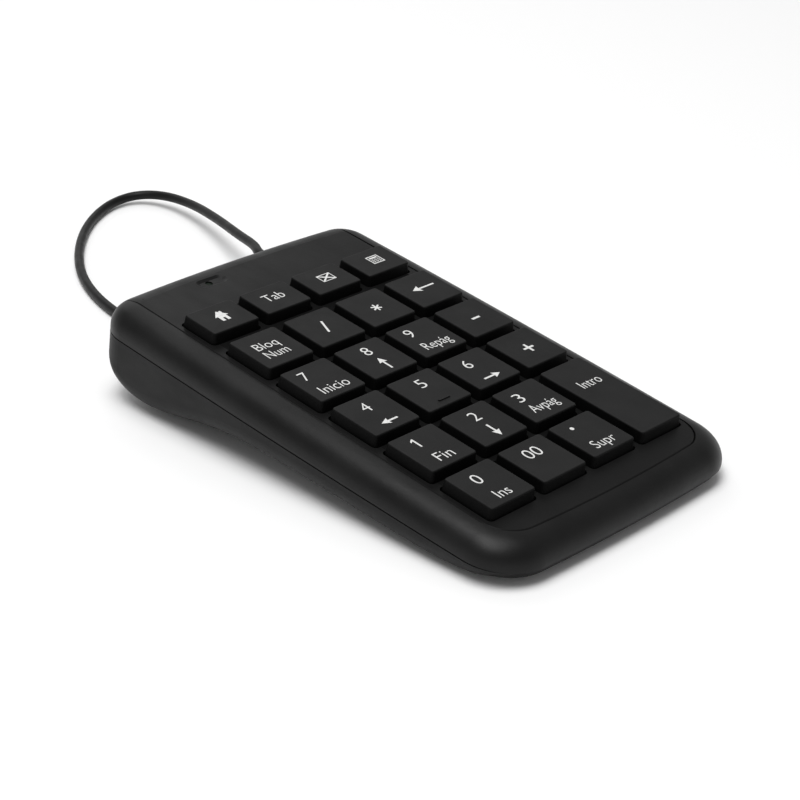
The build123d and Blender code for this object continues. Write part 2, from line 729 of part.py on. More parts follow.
def pierced(part, places, radius):
    """The part with a round hole through it at each place."""
    with BuildPart() as block:
        add(part)
        with BuildSketch(deck.offset(-CASE_SINK - 4)):
            with Locations(*places):
                Circle(radius)
        extrude(amount=2 * CASE_SINK, mode=Mode.SUBTRACT)
    return block.part


def make_screws(places_and_seats, tip, radius, head_radius, head_height):
    """Pan-head screws from their seats to one tip height, as one group of solids."""
    with BuildPart() as screws:
        for (x, y), seat in places_and_seats:
            way = 1 if tip > seat else -1
            with BuildSketch(deck.offset(seat)):
                with Locations((x, y)):
                    Circle(head_radius)
            extrude(amount=-way * head_height)
            with BuildSketch(deck.offset(seat)):
                with Locations((x, y)):
                    Circle(radius)
            extrude(amount=tip - seat)
            with BuildSketch(deck.offset(seat - way * head_height)):
                with Locations((x, y)):
                    Rectangle(1.5 * head_radius, 0.5)
                    Rectangle(0.5, 1.5 * head_radius)
            extrude(amount=0.6 * way * head_height, mode=Mode.SUBTRACT)
    return screws.part


def make_controller_board():
    """Printed board behind the keys, pierced for the clamp's two screws."""
    board = slab(BOARD_LEFT, BOARD_RIGHT, BOARD_FRONT, BOARD_REAR, BOARD_BOTTOM, BOARD_TOP, 1)
    return pierced(board, BOARD_SCREW_PLACES, BOARD_SCREW_RADIUS + 0.1)


def make_contact_clamp():
    """Bar that presses the pad and the membrane's tail on the board."""
    bottom = TAIL_TOP + PAD_THICKNESS
    front = CLAMP_FRONT - CLAMP_MARGIN
    rear = CLAMP_REAR + CLAMP_MARGIN
    bar = slab(-CLAMP_HALF_LENGTH, CLAMP_HALF_LENGTH, front, rear, bottom, bottom + CLAMP_THICKNESS)
    with BuildPart() as clamp:
        add(bar)
        with BuildSketch(deck.offset(BOARD_TOP)):
            with Locations(*BOARD_SCREW_PLACES):
                Circle(CLAMP_POST_RADIUS)
        extrude(amount=bottom - BOARD_TOP)
    return pierced(clamp.part, BOARD_SCREW_PLACES, BOARD_SCREW_RADIUS + 0.1)


def make_status_led():
    """Domed lamp on the board."""
    with BuildPart() as lamp:
        with BuildSketch(deck.offset(BOARD_TOP)):
            with Locations((LED_X, LED_Y)):
                Circle(LAMP_FLANGE_RADIUS)
        extrude(amount=LAMP_FLANGE_HEIGHT)
        with BuildSketch(deck.offset(BOARD_TOP)):
            with Locations((LED_X, LED_Y)):
                Circle(LAMP_RADIUS)
        extrude(amount=LAMP_HEIGHT)
        fillet(lamp.faces().sort_by(up)[-1].edges(), LAMP_DOME_RADIUS)
    return lamp.part


def make_light_pipe():
    """Clear stepped rod that carries the lamp's light up to the hole in the deck."""
    bottom = BOARD_TOP + LAMP_HEIGHT + LIGHT_PIPE_GAP
    step = DECK_TOP - DECK_THICKNESS - 2 * LIGHT_PIPE_CLEARANCE
    with BuildPart() as rod:
        with BuildSketch(deck.offset(bottom)):
            with Locations((LED_X, LED_Y)):
                Circle(LED_HOLE_RADIUS + LIGHT_PIPE_STEP)
        extrude(amount=step - bottom)
        with BuildSketch(deck.offset(step)):
            with Locations((LED_X, LED_Y)):
                Circle(LED_HOLE_RADIUS - LIGHT_PIPE_CLEARANCE)
        extrude(amount=DECK_TOP - LIGHT_PIPE_RECESS - step)
    return rod.part


# --- Cord parts -----------------------------------------------------------------------------
def make_strain_relief():
    """Moulded collar held in the rear wall, with a ribbed taper round the cord."""
    exit_axis = Axis((CORD_EXIT_X, 0, CORD_EXIT_HEIGHT), (0, 1, 0))
    with BuildPart() as relief:
        with BuildSketch(Plane.YZ.offset(CORD_EXIT_X)):
            with BuildLine():
                Polyline(
                    (RELIEF_INSIDE, CORD_EXIT_HEIGHT),
                    (RELIEF_INSIDE, CORD_EXIT_HEIGHT + RELIEF_FLANGE_RADIUS),
                    (RELIEF_NECK, CORD_EXIT_HEIGHT + RELIEF_FLANGE_RADIUS),
                    (RELIEF_NECK, CORD_EXIT_HEIGHT + RELIEF_NECK_RADIUS),
                    (RELIEF_COLLAR, CORD_EXIT_HEIGHT + RELIEF_NECK_RADIUS),
                    (RELIEF_COLLAR, CORD_EXIT_HEIGHT + RELIEF_COLLAR_RADIUS),
                    (RELIEF_TAPER, CORD_EXIT_HEIGHT + RELIEF_COLLAR_RADIUS),
                    (RELIEF_TAPER, CORD_EXIT_HEIGHT + RELIEF_NECK_RADIUS),
                    (RELIEF_TIP, CORD_EXIT_HEIGHT + RELIEF_TIP_RADIUS),
                    (RELIEF_TIP, CORD_EXIT_HEIGHT),
                    close=True,
                )
            make_face()
        revolve(axis=exit_axis)
        with BuildSketch(Plane.YZ.offset(CORD_EXIT_X)):
            with Locations(*[(y, CORD_EXIT_HEIGHT + RELIEF_CORE_RADIUS + 1) for y in RELIEF_GROOVES]):
                Rectangle(RELIEF_GROOVE_WIDTH, 2)
        revolve(axis=exit_axis, mode=Mode.SUBTRACT)
    return relief.part


def make_inner_lead():
    """Short straight end of the cord between the collar and the board's header."""
    with BuildPart() as lead:
        with BuildSketch(cord_axis(HEADER_REACH)):
            Circle(CORD_RADIUS)
        extrude(amount=RELIEF_INSIDE - HEADER_REACH)
    return lead.part


def make_cord(route, diameter, name):
    """Round cord along straight runs joined by the largest arcs that the runs allow."""
    points = [Vector(*point) for point in route]
    runs = [after - before for before, after in zip(points, points[1:])]
    radii = []
    for before, after in zip(runs, runs[1:]):
        turn = radians(before.get_angle(after))
        radii.append(0.45 * min(before.length, after.length) / tan(turn / 2))
    with BuildPart() as cord:
        with BuildLine() as path:
            FilletPolyline(*points, radius=radii)
        with BuildSketch(Plane(origin=path.line @ 0, z_dir=path.line % 0)):
            Circle(diameter / 2)
        sweep(path=path.line)
    section = pi * (diameter / 2) ** 2
    length = sum(edge.length for edge in path.edges())
    fullness = cord.part.volume / (section * length)
    print(name, "arc radii", [round(radius, 1) for radius in radii])
    print(name, "length", round(length, 1), "volume over section times length", round(fullness, 4))
    return cord.part


def make_cord_hank():
    """Outer shape of the hank: the turns of the put-away cord as one closed block."""
    with BuildPart() as hank:
        with BuildSketch(Plane.XY.offset(TIE_THICKNESS)):
            with Locations(((HANK_LEFT + HANK_RIGHT) / 2, HANK_MIDDLE_Y)):
                SlotCenterToCenter(HANK_RIGHT - HANK_LEFT, 2 * (HANK_OUTER_RADIUS + CORD_RADIUS))
        extrude(amount=(HANK_LAYERS - 1) * HANK_PITCH + CORD_DIAMETER)
        fillet(hank.faces().filter_by(Axis.Z).edges(), 1.2)
    return hank.part


def make_cord_tie():
    """Flat strap round the middle of the hank."""
    width = 2 * (HANK_OUTER_RADIUS + CORD_RADIUS)
    height = (HANK_LAYERS - 1) * HANK_PITCH + CORD_DIAMETER
    middle = Plane.YZ.offset((HANK_LEFT + HANK_RIGHT - TIE_WIDTH) / 2)
    with BuildPart() as tie:
        with BuildSketch(middle):
            with Locations((HANK_MIDDLE_Y, TIE_THICKNESS + height / 2)):
                RectangleRounded(width + 2 * TIE_THICKNESS, height + 2 * TIE_THICKNESS, 1.7)
                RectangleRounded(width, height, 1.2, mode=Mode.SUBTRACT)
        extrude(amount=TIE_WIDTH)
    return tie.part


def make_plug_body():
    """Moulded grip of the plug with finger grooves and a short neck at its cord end."""
    with BuildPart() as body:
        with BuildSketch(plug_plane(PLUG_NECK_LENGTH)):
            RectangleRounded(PLUG_BODY_WIDTH, PLUG_BODY_THICKNESS, PLUG_BODY_CORNER)
        extrude(amount=PLUG_BODY_LENGTH)
        fillet(body.edges().filter_by(Plane.XZ), PLUG_BODY_EDGE)
        with BuildSketch(plug_plane(0)):
            Circle(CORD_RADIUS + PLUG_NECK_WALL)
        extrude(amount=PLUG_NECK_LENGTH + PLUG_BODY_EDGE)
        for side in (-1, 1):
            groove_floor = side * (PLUG_BODY_THICKNESS / 2 - GRIP_GROOVE_DEPTH)
            with BuildSketch(Plane.XY.offset(PLUG_HEIGHT + groove_floor)):
                with Locations((PLUG_X, PLUG_BACK - GRIP_MIDDLE)):
                    with GridLocations(1, GRIP_GROOVE_PITCH, 1, GRIP_GROOVES):
                        SlotOverall(GRIP_GROOVE_LENGTH, GRIP_GROOVE_WIDTH)
            extrude(amount=side, mode=Mode.SUBTRACT)
    return body.part


def plug_plane(distance):
    """Upright plane across the plug, a distance from its cord end towards its tip."""
    return Plane(origin=(PLUG_X, PLUG_BACK - distance, PLUG_HEIGHT), x_dir=(1, 0, 0), z_dir=(0, -1, 0))


def make_plug_shell():
    """Folded metal shell of the plug with its two latch windows on each face."""
    start = PLUG_NECK_LENGTH + PLUG_BODY_LENGTH
    with BuildPart() as shell:
        with BuildSketch(plug_plane(start)):
            RectangleRounded(SHELL_WIDTH, SHELL_THICKNESS, 0.5)
            Rectangle(SHELL_WIDTH - 2 * SHELL_WALL, SHELL_THICKNESS - 2 * SHELL_WALL, mode=Mode.SUBTRACT)
        extrude(amount=SHELL_LENGTH)
        with BuildSketch(Plane.XY.offset(PLUG_HEIGHT - SHELL_THICKNESS)):
            with Locations((PLUG_X, PLUG_BACK - start - SHELL_WINDOW_PLACE)):
                with GridLocations(SHELL_WINDOW_SPACING, 1, 2, 1):
                    Rectangle(SHELL_WINDOW, SHELL_WINDOW)
        extrude(amount=2 * SHELL_THICKNESS, mode=Mode.SUBTRACT)
    return shell.part


def make_plug_insert():
    """Plastic tongue inside the shell, on the side opposite the contacts' gap."""
    start = PLUG_NECK_LENGTH + PLUG_BODY_LENGTH
    with BuildPart() as tongue:
        with BuildSketch(plug_plane(start)):
            with Locations((0, SHELL_THICKNESS / 2 - SHELL_WALL - TONGUE_THICKNESS / 2)):
                Rectangle(SHELL_WIDTH - 2 * SHELL_WALL, TONGUE_THICKNESS)
        extrude(amount=TONGUE_LENGTH)
    return tongue.part


def make_plug_contacts():
    """Four contact strips on the tongue, as one group of solids."""
    start = PLUG_NECK_LENGTH + PLUG_BODY_LENGTH
    with BuildPart() as contacts:
        with BuildSketch(plug_plane(start)):
            with Locations((0, SHELL_THICKNESS / 2 - SHELL_WALL - TONGUE_THICKNESS - CONTACT_STRIP[1] / 2)):
                with GridLocations(CONTACT_PITCH, 1, 4, 1):
                    Rectangle(*CONTACT_STRIP)
        extrude(amount=CONTACT_LENGTH)
    return contacts.part


def make_rubber_feet():
    """Four round feet seated in the bottom case, as one group of solids."""
    with BuildPart() as feet:
        for places, top in FEET:
            with BuildSketch():
                with Locations(*places):
                    Circle(FOOT_RADIUS - 0.1)
            extrude(amount=top)
        fillet(feet.faces().sort_by(Axis.Z)[:4].edges(), 0.3)
    return feet.part


def main():
    """Make every piece and write it to its own file."""
    os.makedirs("parts", exist_ok=True)
    save(make_upper_case(), "upper_case")
    save(make_key_deck(), "key_deck")
    save(make_bottom_case(), "bottom_case")
    for name, centre, depth in KEYS:
        cap = make_keycap(centre, depth, with_lugs=name == "enter", with_bar=name == "5")
        save(cap, f"key_{name}")
        if name == "enter":
            save(make_enter_stabilizer(centre), "enter_stabilizer")
    save(make_key_guide(), "key_guide")
    save(make_dome_sheet(), "dome_sheet")
    save(make_foil(0), "membrane_top")
    save(make_foil(1, with_contact_holes=True), "membrane_spacer")
    save(make_foil(2, with_tail=True), "membrane_bottom")
    save(make_backing_plate(), "backing_plate")
    save(make_controller_board(), "controller_board")
    pad = slab(*TAIL_X, CLAMP_FRONT, CLAMP_REAR, TAIL_TOP, TAIL_TOP + PAD_THICKNESS)
    save(pad, "contact_pad")
    save(make_contact_clamp(), "contact_clamp")
    chip = slab(*CHIP, BOARD_TOP, BOARD_TOP + CHIP_HEIGHT, 0.3)
    save(chip, "controller_chip")
    header = slab(*HEADER, BOARD_BOTTOM - HEADER_HEIGHT, BOARD_BOTTOM, 0.4)
    save(header, "cable_header")
    save(make_status_led(), "status_led")
    save(make_light_pipe(), "light_pipe")
    clamp_top = TAIL_TOP + PAD_THICKNESS + CLAMP_THICKNESS
    board_seats = [(place, clamp_top) for place in BOARD_SCREW_PLACES]
    board_head = (BOARD_SCREW_HEAD_RADIUS, BOARD_SCREW_HEAD_HEIGHT)
    save(make_screws(board_seats, BOARD_SCREW_TIP, BOARD_SCREW_RADIUS, *board_head), "board_screws")
    case_seats = [(place, SCREW_HEAD_SEATS[place[1] > 0]) for place in CASE_SCREW_PLACES]
    case_screws = make_screws(case_seats, SCREW_TIP, SCREW_RADIUS, SCREW_HEAD_RADIUS, SCREW_HEAD_HEIGHT)
    save(case_screws, "case_screws")
    save(make_rubber_feet(), "rubber_feet")
    save(make_strain_relief(), "strain_relief")
    save(make_inner_lead(), "inner_lead")
    save(make_cord(CORD_ROUTE, CORD_DIAMETER, "usb_cord"), "usb_cord")
    save(make_cord(TAIL_ROUTE, CORD_DIAMETER, "cord_tail"), "cord_tail")
    save(make_cord_hank(), "cord_hank")
    save(make_cord_tie(), "cord_tie")
    save(make_plug_body(), "usb_plug_body")
    save(make_plug_shell(), "usb_plug_shell")
    save(make_plug_insert(), "usb_plug_insert")
    save(make_plug_contacts(), "usb_plug_contacts")


if __name__ == "__main__":
    main()
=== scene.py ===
"""Looks for a wired numeric keypad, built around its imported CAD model.

Metres, in the part's frame: +X to the right of the keypad, +Y to its rear edge, +Z up, table at 0.
Sizes that are easier to read in millimetres are multiplied by MM.
"""

import json
import math
import random

import bmesh
import bpy
from mathutils import Matrix, Vector


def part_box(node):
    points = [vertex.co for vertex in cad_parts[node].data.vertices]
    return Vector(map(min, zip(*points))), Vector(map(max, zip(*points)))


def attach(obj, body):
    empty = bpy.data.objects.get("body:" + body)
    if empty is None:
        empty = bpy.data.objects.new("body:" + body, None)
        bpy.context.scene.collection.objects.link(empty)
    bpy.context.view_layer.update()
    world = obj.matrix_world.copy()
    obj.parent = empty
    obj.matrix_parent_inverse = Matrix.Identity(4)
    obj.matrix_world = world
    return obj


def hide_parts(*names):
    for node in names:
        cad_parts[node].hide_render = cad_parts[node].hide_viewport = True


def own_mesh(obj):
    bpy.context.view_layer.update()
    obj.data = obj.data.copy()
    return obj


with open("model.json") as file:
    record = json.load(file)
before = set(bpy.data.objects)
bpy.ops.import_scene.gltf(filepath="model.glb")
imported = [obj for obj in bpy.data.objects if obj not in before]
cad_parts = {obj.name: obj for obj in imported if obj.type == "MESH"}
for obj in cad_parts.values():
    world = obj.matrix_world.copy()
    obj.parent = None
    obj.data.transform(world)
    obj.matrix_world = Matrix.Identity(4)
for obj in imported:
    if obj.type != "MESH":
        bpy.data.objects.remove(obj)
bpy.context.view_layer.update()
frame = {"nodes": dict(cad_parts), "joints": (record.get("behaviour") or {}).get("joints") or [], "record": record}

MM = 0.001
NODES = frame["nodes"]
JOINTS = {joint["name"]: joint for joint in frame["joints"]}

# --- Camera ---------------------------------------------------------------------------------------
CAMERA_PLACE = (-0.3604, -0.3288, 0.2513)
CAMERA_AHEAD = (0.65779, 0.60813, -0.44440)
CAMERA_UP = (0.29967, 0.33001, 0.89515)
CAMERA_LENS = 93.6

# --- Light ----------------------------------------------------------------------------------------
# name, place, side, power in watts; each box is turned to the origin
SOFT_BOXES = (
    ("top_box", (-0.1, 0.05, 1.0), 0.5, 2.6),
    ("rear_box", (0.35, 0.75, 0.65), 0.7, 1.4),
    ("left_box", (-0.42, -0.16, 0.88), 0.35, 1.8),
)
SUN_AHEAD = (0.12, -0.06, -1.0)
SUN_DEGREES = 45
SUN_STRENGTH = 1.15
# the surroundings fade from the horizon up to this sine of the angle above it
HORIZON_STRENGTH = 0.9
UPPER_STRENGTH = 0.28
FADE_END = 0.45
FLOOR_HALF = 6
FLOOR_SHADE = 0.93

# --- Cord, on the route that the CAD model gives it, in millimetres -------------------------------
CORD_RADIUS = 1.45
CORD_ROUTE = (
    (33.0, 87.0, 11.5),
    (34.2, 96.0, 11.5),
    (38.7, 102.5, 11.1),
    (42.9, 114.5, 9.8),
    (51.0, 133.6, 7.4),
    (57.3, 152.7, 5.2),
    (58.0, 167.3, 3.9),
    (53.5, 175.9, 2.8),
    (44.9, 177.5, 2.0),
    (34.1, 173.3, 1.6),
    (22.1, 164.7, 1.45),
    (10.0, 152.4, 1.45),
    (-0.7, 137.6, 1.45),
    (-7.9, 121.5, 1.45),
    (-12.0, 104.0, 1.7),
    (-13.0, 88.5, 1.95),
)
TAIL_ROUTE = (
    (34.0, 72.1, 4.95),
    (43.8, 71.9, 4.4),
    (51.2, 67.7, 3.9),
    (55.4, 60.3, 3.8),
    (55.5, 52.5, 3.8),
)
HANK_LEFT = -1.1
HANK_RIGHT = 32.9
HANK_MIDDLE_Y = 84.0
HANK_OUTER = 11.9
HANK_INNER = 8.9
HANK_LOW = 1.95
HANK_HIGH = 4.95
HANK_STEP = 30
HANK_SLACK = 0.15
HANK_LEFT_SLACK = 0.1
# shares of the rear side, from its right end, between which a turn changes its height and radius
HANK_SHIFT = (0.3, 0.75)

# --- Strap round the hank -------------------------------------------------------------------------
STRAP_THICKNESS = 0.5 * MM
STRAP_CORNER = 1.6 * MM
STRAP_EDGE = 0.12 * MM
LAP_START = 4 * MM
LAP_LENGTH = 12 * MM
LAP_STEPS = 6
LAP_INSET = 0.4 * MM

# --- Painted shade on the ribs between the keys, and the domes under them -------------------------
# the ribs inside the key field, less this inset, get painted shade: near black and matt, for the shadow that falls
# between the keys
RIB_FIELD_INSET = 1.5 * MM
RIB_PAINTED_SHADE = 0.001
RIB_ROUGHNESS = 0.85
DOME_REACH = 4.35 * MM

# --- Print on the keys, in millimetres on the key plane, from each key's centre -------------------
PRINT_THICKNESS = 0.04
FIGURE_HEIGHT = 3.7
WORD_HEIGHT = 3.35
SMALL_WORD_HEIGHT = 3.2
LETTER_THINNING = 0.008
# key, text, left edge, base line, capital height, width
TEXTS = (
    ("7", "7", -4.4, 1.6, FIGURE_HEIGHT, 2.3),
    ("8", "8", -1.2, 1.6, FIGURE_HEIGHT, 2.4),
    ("9", "9", -4.0, 1.7, FIGURE_HEIGHT, 2.4),
    ("4", "4", -2.0, 1.3, FIGURE_HEIGHT, 2.5),
    ("5", "5", -1.0, 1.2, FIGURE_HEIGHT, 2.4),
    ("6", "6", -2.8, 1.0, FIGURE_HEIGHT, 2.4),
    ("2", "2", -1.3, 1.5, FIGURE_HEIGHT, 2.5),
    ("3", "3", -4.1, 0.9, FIGURE_HEIGHT, 2.5),
    ("0", "0", -2.8, 1.1, FIGURE_HEIGHT, 2.5),
    ("00", "00", -3.1, 1.0, FIGURE_HEIGHT, 5.5),
    ("tab", "Tab", -3.7, -1.2, WORD_HEIGHT, 6.7),
    ("num_lock", "Bloq", -4.3, 0.1, SMALL_WORD_HEIGHT, 7.4),
    ("num_lock", "Num", -4.3, -4.2, SMALL_WORD_HEIGHT, 7.5),
    ("7", "Inicio", -4.5, -5.6, WORD_HEIGHT, 9.2),
    ("9", "Repág", -4.6, -5.2, WORD_HEIGHT, 9.5),
    ("1", "Fin", -2.7, -5.6, WORD_HEIGHT, 5.4),
    ("3", "Avpág", -4.6, -4.5, WORD_HEIGHT, 9.4),
    ("enter", "Intro", -3.6, 5.3, WORD_HEIGHT, 7.5),
    ("0", "Ins", -2.6, -5.8, SMALL_WORD_HEIGHT, 4.6),
    ("decimal", "Supr", -4.2, -5.6, SMALL_WORD_HEIGHT, 7.9),
)
# key, tip of the arrow, end of its tail, length of the head, half its width
ARROWS = (
    ("backspace", (-3.8, 0.5), (4.4, 0.5), 2.7, 1.45),
    ("8", (0.0, -0.5), (0.0, -6.1), 2.4, 1.3),
    ("4", (-2.7, -4.5), (2.9, -4.5), 2.6, 1.2),
    ("6", (2.8, -4.7), (-3.1, -4.7), 2.4, 1.2),
    ("2", (-0.3, -6.3), (-0.3, -0.9), 2.4, 1.3),
)
# key, ends of a stroke, its width
STROKES = (
    ("divide", (-0.9, -2.7), (1.1, 2.5), 0.6),
    ("minus", (-1.5, -0.5), (1.5, -0.5), 0.72),
)
ARROW_SHAFT = 0.58
ARROW_NOTCH = 0.25
PLUS_CENTRE = (0.0, -0.5)
PLUS_RADIUS = 1.85
PLUS_WIDTH = 0.7
STAR_CENTRE = (0.0, -0.4)
STAR_RADIUS = 1.6
STAR_WIDTH = 0.5
DOT_CENTRE = (-2.6, 4.2)
DOT_RADIUS = 0.6
DOT_CORNERS = 20
ONE_OUTLINE = (
    (-2.2, 1.5),
    (-1.68, 1.5),
    (-1.68, 5.2),
    (-2.1, 5.2),
    (-3.0, 4.5),
    (-3.0, 3.95),
    (-2.2, 4.5),
)
HOUSE_SCALE = (0.88, 0.95)
HOUSE_OUTLINE = (
    (-1.55, -2.2),
    (-0.45, -2.2),
    (-0.45, -0.7),
    (0.45, -0.7),
    (0.45, -2.2),
    (1.55, -2.2),
    (1.55, 0.2),
    (2.5, 0.2),
    (1.45, 1.35),
    (1.45, 2.6),
    (0.8, 2.6),
    (0.8, 2.05),
    (0, 2.95),
    (-2.5, 0.2),
    (-1.55, 0.2),
)
# lowest x and y, then highest x and y
ENVELOPE_BOX = (-2.0, -1.35, 2.8, 2.15)
ENVELOPE_LINE = 0.26
CALCULATOR_BOX = (-1.5, -1.5, 2.75, 2.45)
CALCULATOR_LINE = 0.34
DISPLAY_SIDE = 0.72
DISPLAY_TOP = 0.7
DISPLAY_HEIGHT = 0.65
BUTTON_FIRST = (0.78, 0.64)
BUTTON_PITCH = (1.05, 0.62)
BUTTON_SIZE = (0.6, 0.34)


# --- Camera and light -----------------------------------------------------------------------------
def make_camera():
    """Camera at the photograph's viewing angle."""
    ahead = Vector(CAMERA_AHEAD).normalized()
    right = ahead.cross(Vector(CAMERA_UP)).normalized()
    up = right.cross(ahead)
    data = bpy.data.cameras.new("camera")
    data.lens = CAMERA_LENS
    data.clip_start = 0.01
    data.clip_end = 20
    camera = bpy.data.objects.new("camera", data)
    axes = Matrix((right, up, -ahead)).transposed().to_4x4()
    camera.matrix_world = Matrix.Translation(CAMERA_PLACE) @ axes
    bpy.context.scene.collection.objects.link(camera)
    bpy.context.scene.camera = camera


def add_lamp(name, kind, ahead, place=(0, 0, 0)):
    """Lamp at a place that shines in a direction; returns its settings."""
    data = bpy.data.lights.new(name, kind)
    lamp = bpy.data.objects.new(name, data)
    lamp.location = place
    lamp.rotation_mode = "QUATERNION"
    lamp.rotation_quaternion = Vector(ahead).to_track_quat("-Z", "Y")
    bpy.context.scene.collection.objects.link(lamp)
    return data


def make_lamps():
    """Three soft boxes, and a broad sun that lights the table top evenly."""
    for name, place, side, power in SOFT_BOXES:
        lamp = add_lamp(name, "AREA", -Vector(place), place)
        lamp.shape = "SQUARE"
        lamp.size = side
        lamp.energy = power
    sun = add_lamp("even_light", "SUN", SUN_AHEAD)
    sun.energy = SUN_STRENGTH
    sun.angle = math.radians(SUN_DEGREES)


def make_surroundings():
    """White surroundings, brightest at the horizon."""
    world = bpy.data.worlds.new("surroundings")
    world.use_nodes = True
    tree = world.node_tree
    background = tree.nodes["Background"]
    background.inputs["Color"].default_value = (1, 1, 1, 1)
    axes = tree.nodes.new("ShaderNodeSeparateXYZ")
    direction = tree.nodes.new("ShaderNodeTexCoord").outputs["Generated"]
    tree.links.new(direction, axes.inputs["Vector"])
    rise = tree.nodes.new("ShaderNodeMapRange")
    rise.inputs["From Max"].default_value = FADE_END
    rise.inputs["To Min"].default_value = HORIZON_STRENGTH
    rise.inputs["To Max"].default_value = UPPER_STRENGTH
    tree.links.new(axes.outputs["Z"], rise.inputs["Value"])
    tree.links.new(rise.outputs["Result"], background.inputs["Strength"])
    bpy.context.scene.world = world
    bpy.context.scene.view_settings.view_transform = "Standard"


def make_floor():
    """Plain pale table top, large enough to fill every view."""
    mesh = bpy.data.meshes.new("floor")
    outline = box_outline(-FLOOR_HALF, -FLOOR_HALF, FLOOR_HALF, FLOOR_HALF)
    mesh.from_pydata([(x, y, 0) for x, y in outline], [], [(0, 1, 2, 3)])
    floor = bpy.data.objects.new("floor", mesh)
    bpy.context.scene.collection.objects.link(floor)
    material, shader, _, _ = new_material("floor_white")
    shader.inputs["Base Color"].default_value = (*grey(FLOOR_SHADE), 1)
    shader.inputs["Roughness"].default_value = 0.9
    shader.inputs["Specular IOR Level"].default_value = 0.1
    mesh.materials.append(material)


# --- Materials ------------------------------------------------------------------------------------
def new_material(name):
    """A node material, with its shader and helpers that add a node and link two sockets."""
    material = bpy.data.materials.new(name)
    material.use_nodes = True
    tree = material.node_tree
    shader = tree.nodes["Principled BSDF"]

    def add_node(kind, **settings):
        node = tree.nodes.new(kind)
        for key, value in settings.items():
            setattr(node, key, value)
        return node

    def link(source, target):
        tree.links.new(source, target)

    return material, shader, add_node, link


def noise(add_node, link, place, period, detail=3.0, stretch=(1, 1, 1), seed=0.0):
    """Noise with features of about one period, in metres; returns its factor socket."""
    mapping = add_node("ShaderNodeMapping")
    mapping.inputs["Scale"].default_value = stretch
    mapping.inputs["Location"].default_value = (seed, seed * 0.7, seed * 1.3)
    link(place, mapping.inputs["Vector"])
    texture = add_node("ShaderNodeTexNoise")
    texture.inputs["Scale"].default_value = 1 / period
    texture.inputs["Detail"].default_value = detail
    link(mapping.outputs["Vector"], texture.inputs["Vector"])
    return texture.outputs["Fac"]


def between(add_node, link, factor, low, high, from_low=0.3, from_high=0.7):
    """The factor's usual span, mapped to low and high."""
    span = add_node("ShaderNodeMapRange")
    span.inputs["From Min"].default_value = from_low
    span.inputs["From Max"].default_value = from_high
    span.inputs["To Min"].default_value = low
    span.inputs["To Max"].default_value = high
    link(factor, span.inputs["Value"])
    return span.outputs["Result"]


def two_tone(add_node, link, factor, dark, light):
    """Colour that goes from dark to light with the factor."""
    ramp = add_node("ShaderNodeValToRGB")
    ramp.color_ramp.elements[0].position = 0.3
    ramp.color_ramp.elements[1].position = 0.7
    ramp.color_ramp.elements[0].color = (*dark, 1)
    ramp.color_ramp.elements[1].color = (*light, 1)
    link(factor, ramp.inputs["Fac"])
    return ramp.outputs["Color"]


def bump(add_node, link, height, distance, strength=1.0, below=None):
    """Bump of a real depth, in metres, over an earlier one if there is one."""
    node = add_node("ShaderNodeBump")
    node.inputs["Strength"].default_value = strength
    node.inputs["Distance"].default_value = distance
    link(height, node.inputs["Height"])
    if below is not None:
        link(below, node.inputs["Normal"])
    return node.outputs["Normal"]


def grey(value):
    """Neutral colour of one linear value."""
    return (value, value, value)


def moulded(name, dark, light, rough, grain, depth, specular=0.5, wear=0.0, metallic=0.0):
    """Moulded or cast surface: a fine eroded grain, faint mottling, handling marks and wear.

    rough is the least and most roughness; grain is the period of the texture and depth its
    height, in metres; wear is how much lighter rubbed patches are.
    """
    material, shader, add_node, link = new_material(name)
    place = add_node("ShaderNodeTexCoord").outputs["Object"]
    mottling = noise(add_node, link, place, 14 * MM, 4, seed=1.7)
    colour = two_tone(add_node, link, mottling, dark, light)
    if wear:
        rubbed = noise(add_node, link, place, 9 * MM, 7, seed=8.3)
        patch = between(add_node, link, rubbed, 0.0, wear, 0.52, 0.7)
        mix = add_node("ShaderNodeMix", data_type="RGBA")
        link(patch, mix.inputs["Factor"])
        link(colour, mix.inputs["A"])
        mix.inputs["B"].default_value = (*[2.2 * value for value in light], 1)
        colour = mix.outputs["Result"]
    link(colour, shader.inputs["Base Color"])
    marks = noise(add_node, link, place, 5 * MM, 6, (1, 0.35, 1), seed=4.1)
    link(between(add_node, link, marks, *rough), shader.inputs["Roughness"])
    fine = noise(add_node, link, place, grain, 2, seed=2.9)
    coarse = noise(add_node, link, place, 6 * grain, 2, seed=6.4)
    surface = bump(add_node, link, coarse, 2 * depth, 0.6)
    surface = bump(add_node, link, fine, depth, 0.8, surface)
    link(surface, shader.inputs["Normal"])
    shader.inputs["Specular IOR Level"].default_value = specular
    shader.inputs["Metallic"].default_value = metallic
    return material


def painted_shade_field(tree):
    """Socket that is 1 inside the field of keys, seen from above, and 0 round it: the mask of the painted shade on
    the deck's ribs.
    """
    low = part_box("key_0")[0]
    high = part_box("key_calculator")[1]
    axes = tree.nodes.new("ShaderNodeSeparateXYZ")
    tree.links.new(tree.nodes.new("ShaderNodeTexCoord").outputs["Object"], axes.inputs["Vector"])
    both = tree.nodes.new("ShaderNodeMath")
    both.operation = "MULTIPLY"
    for axis, name in enumerate("XY"):
        within = tree.nodes.new("ShaderNodeMath")
        within.operation = "COMPARE"
        within.inputs[1].default_value = (low[axis] + high[axis]) / 2
        within.inputs[2].default_value = (high[axis] - low[axis]) / 2 - RIB_FIELD_INSET
        tree.links.new(axes.outputs[name], within.inputs[0])
        tree.links.new(within.outputs["Value"], both.inputs[axis])
    return both.outputs["Value"]


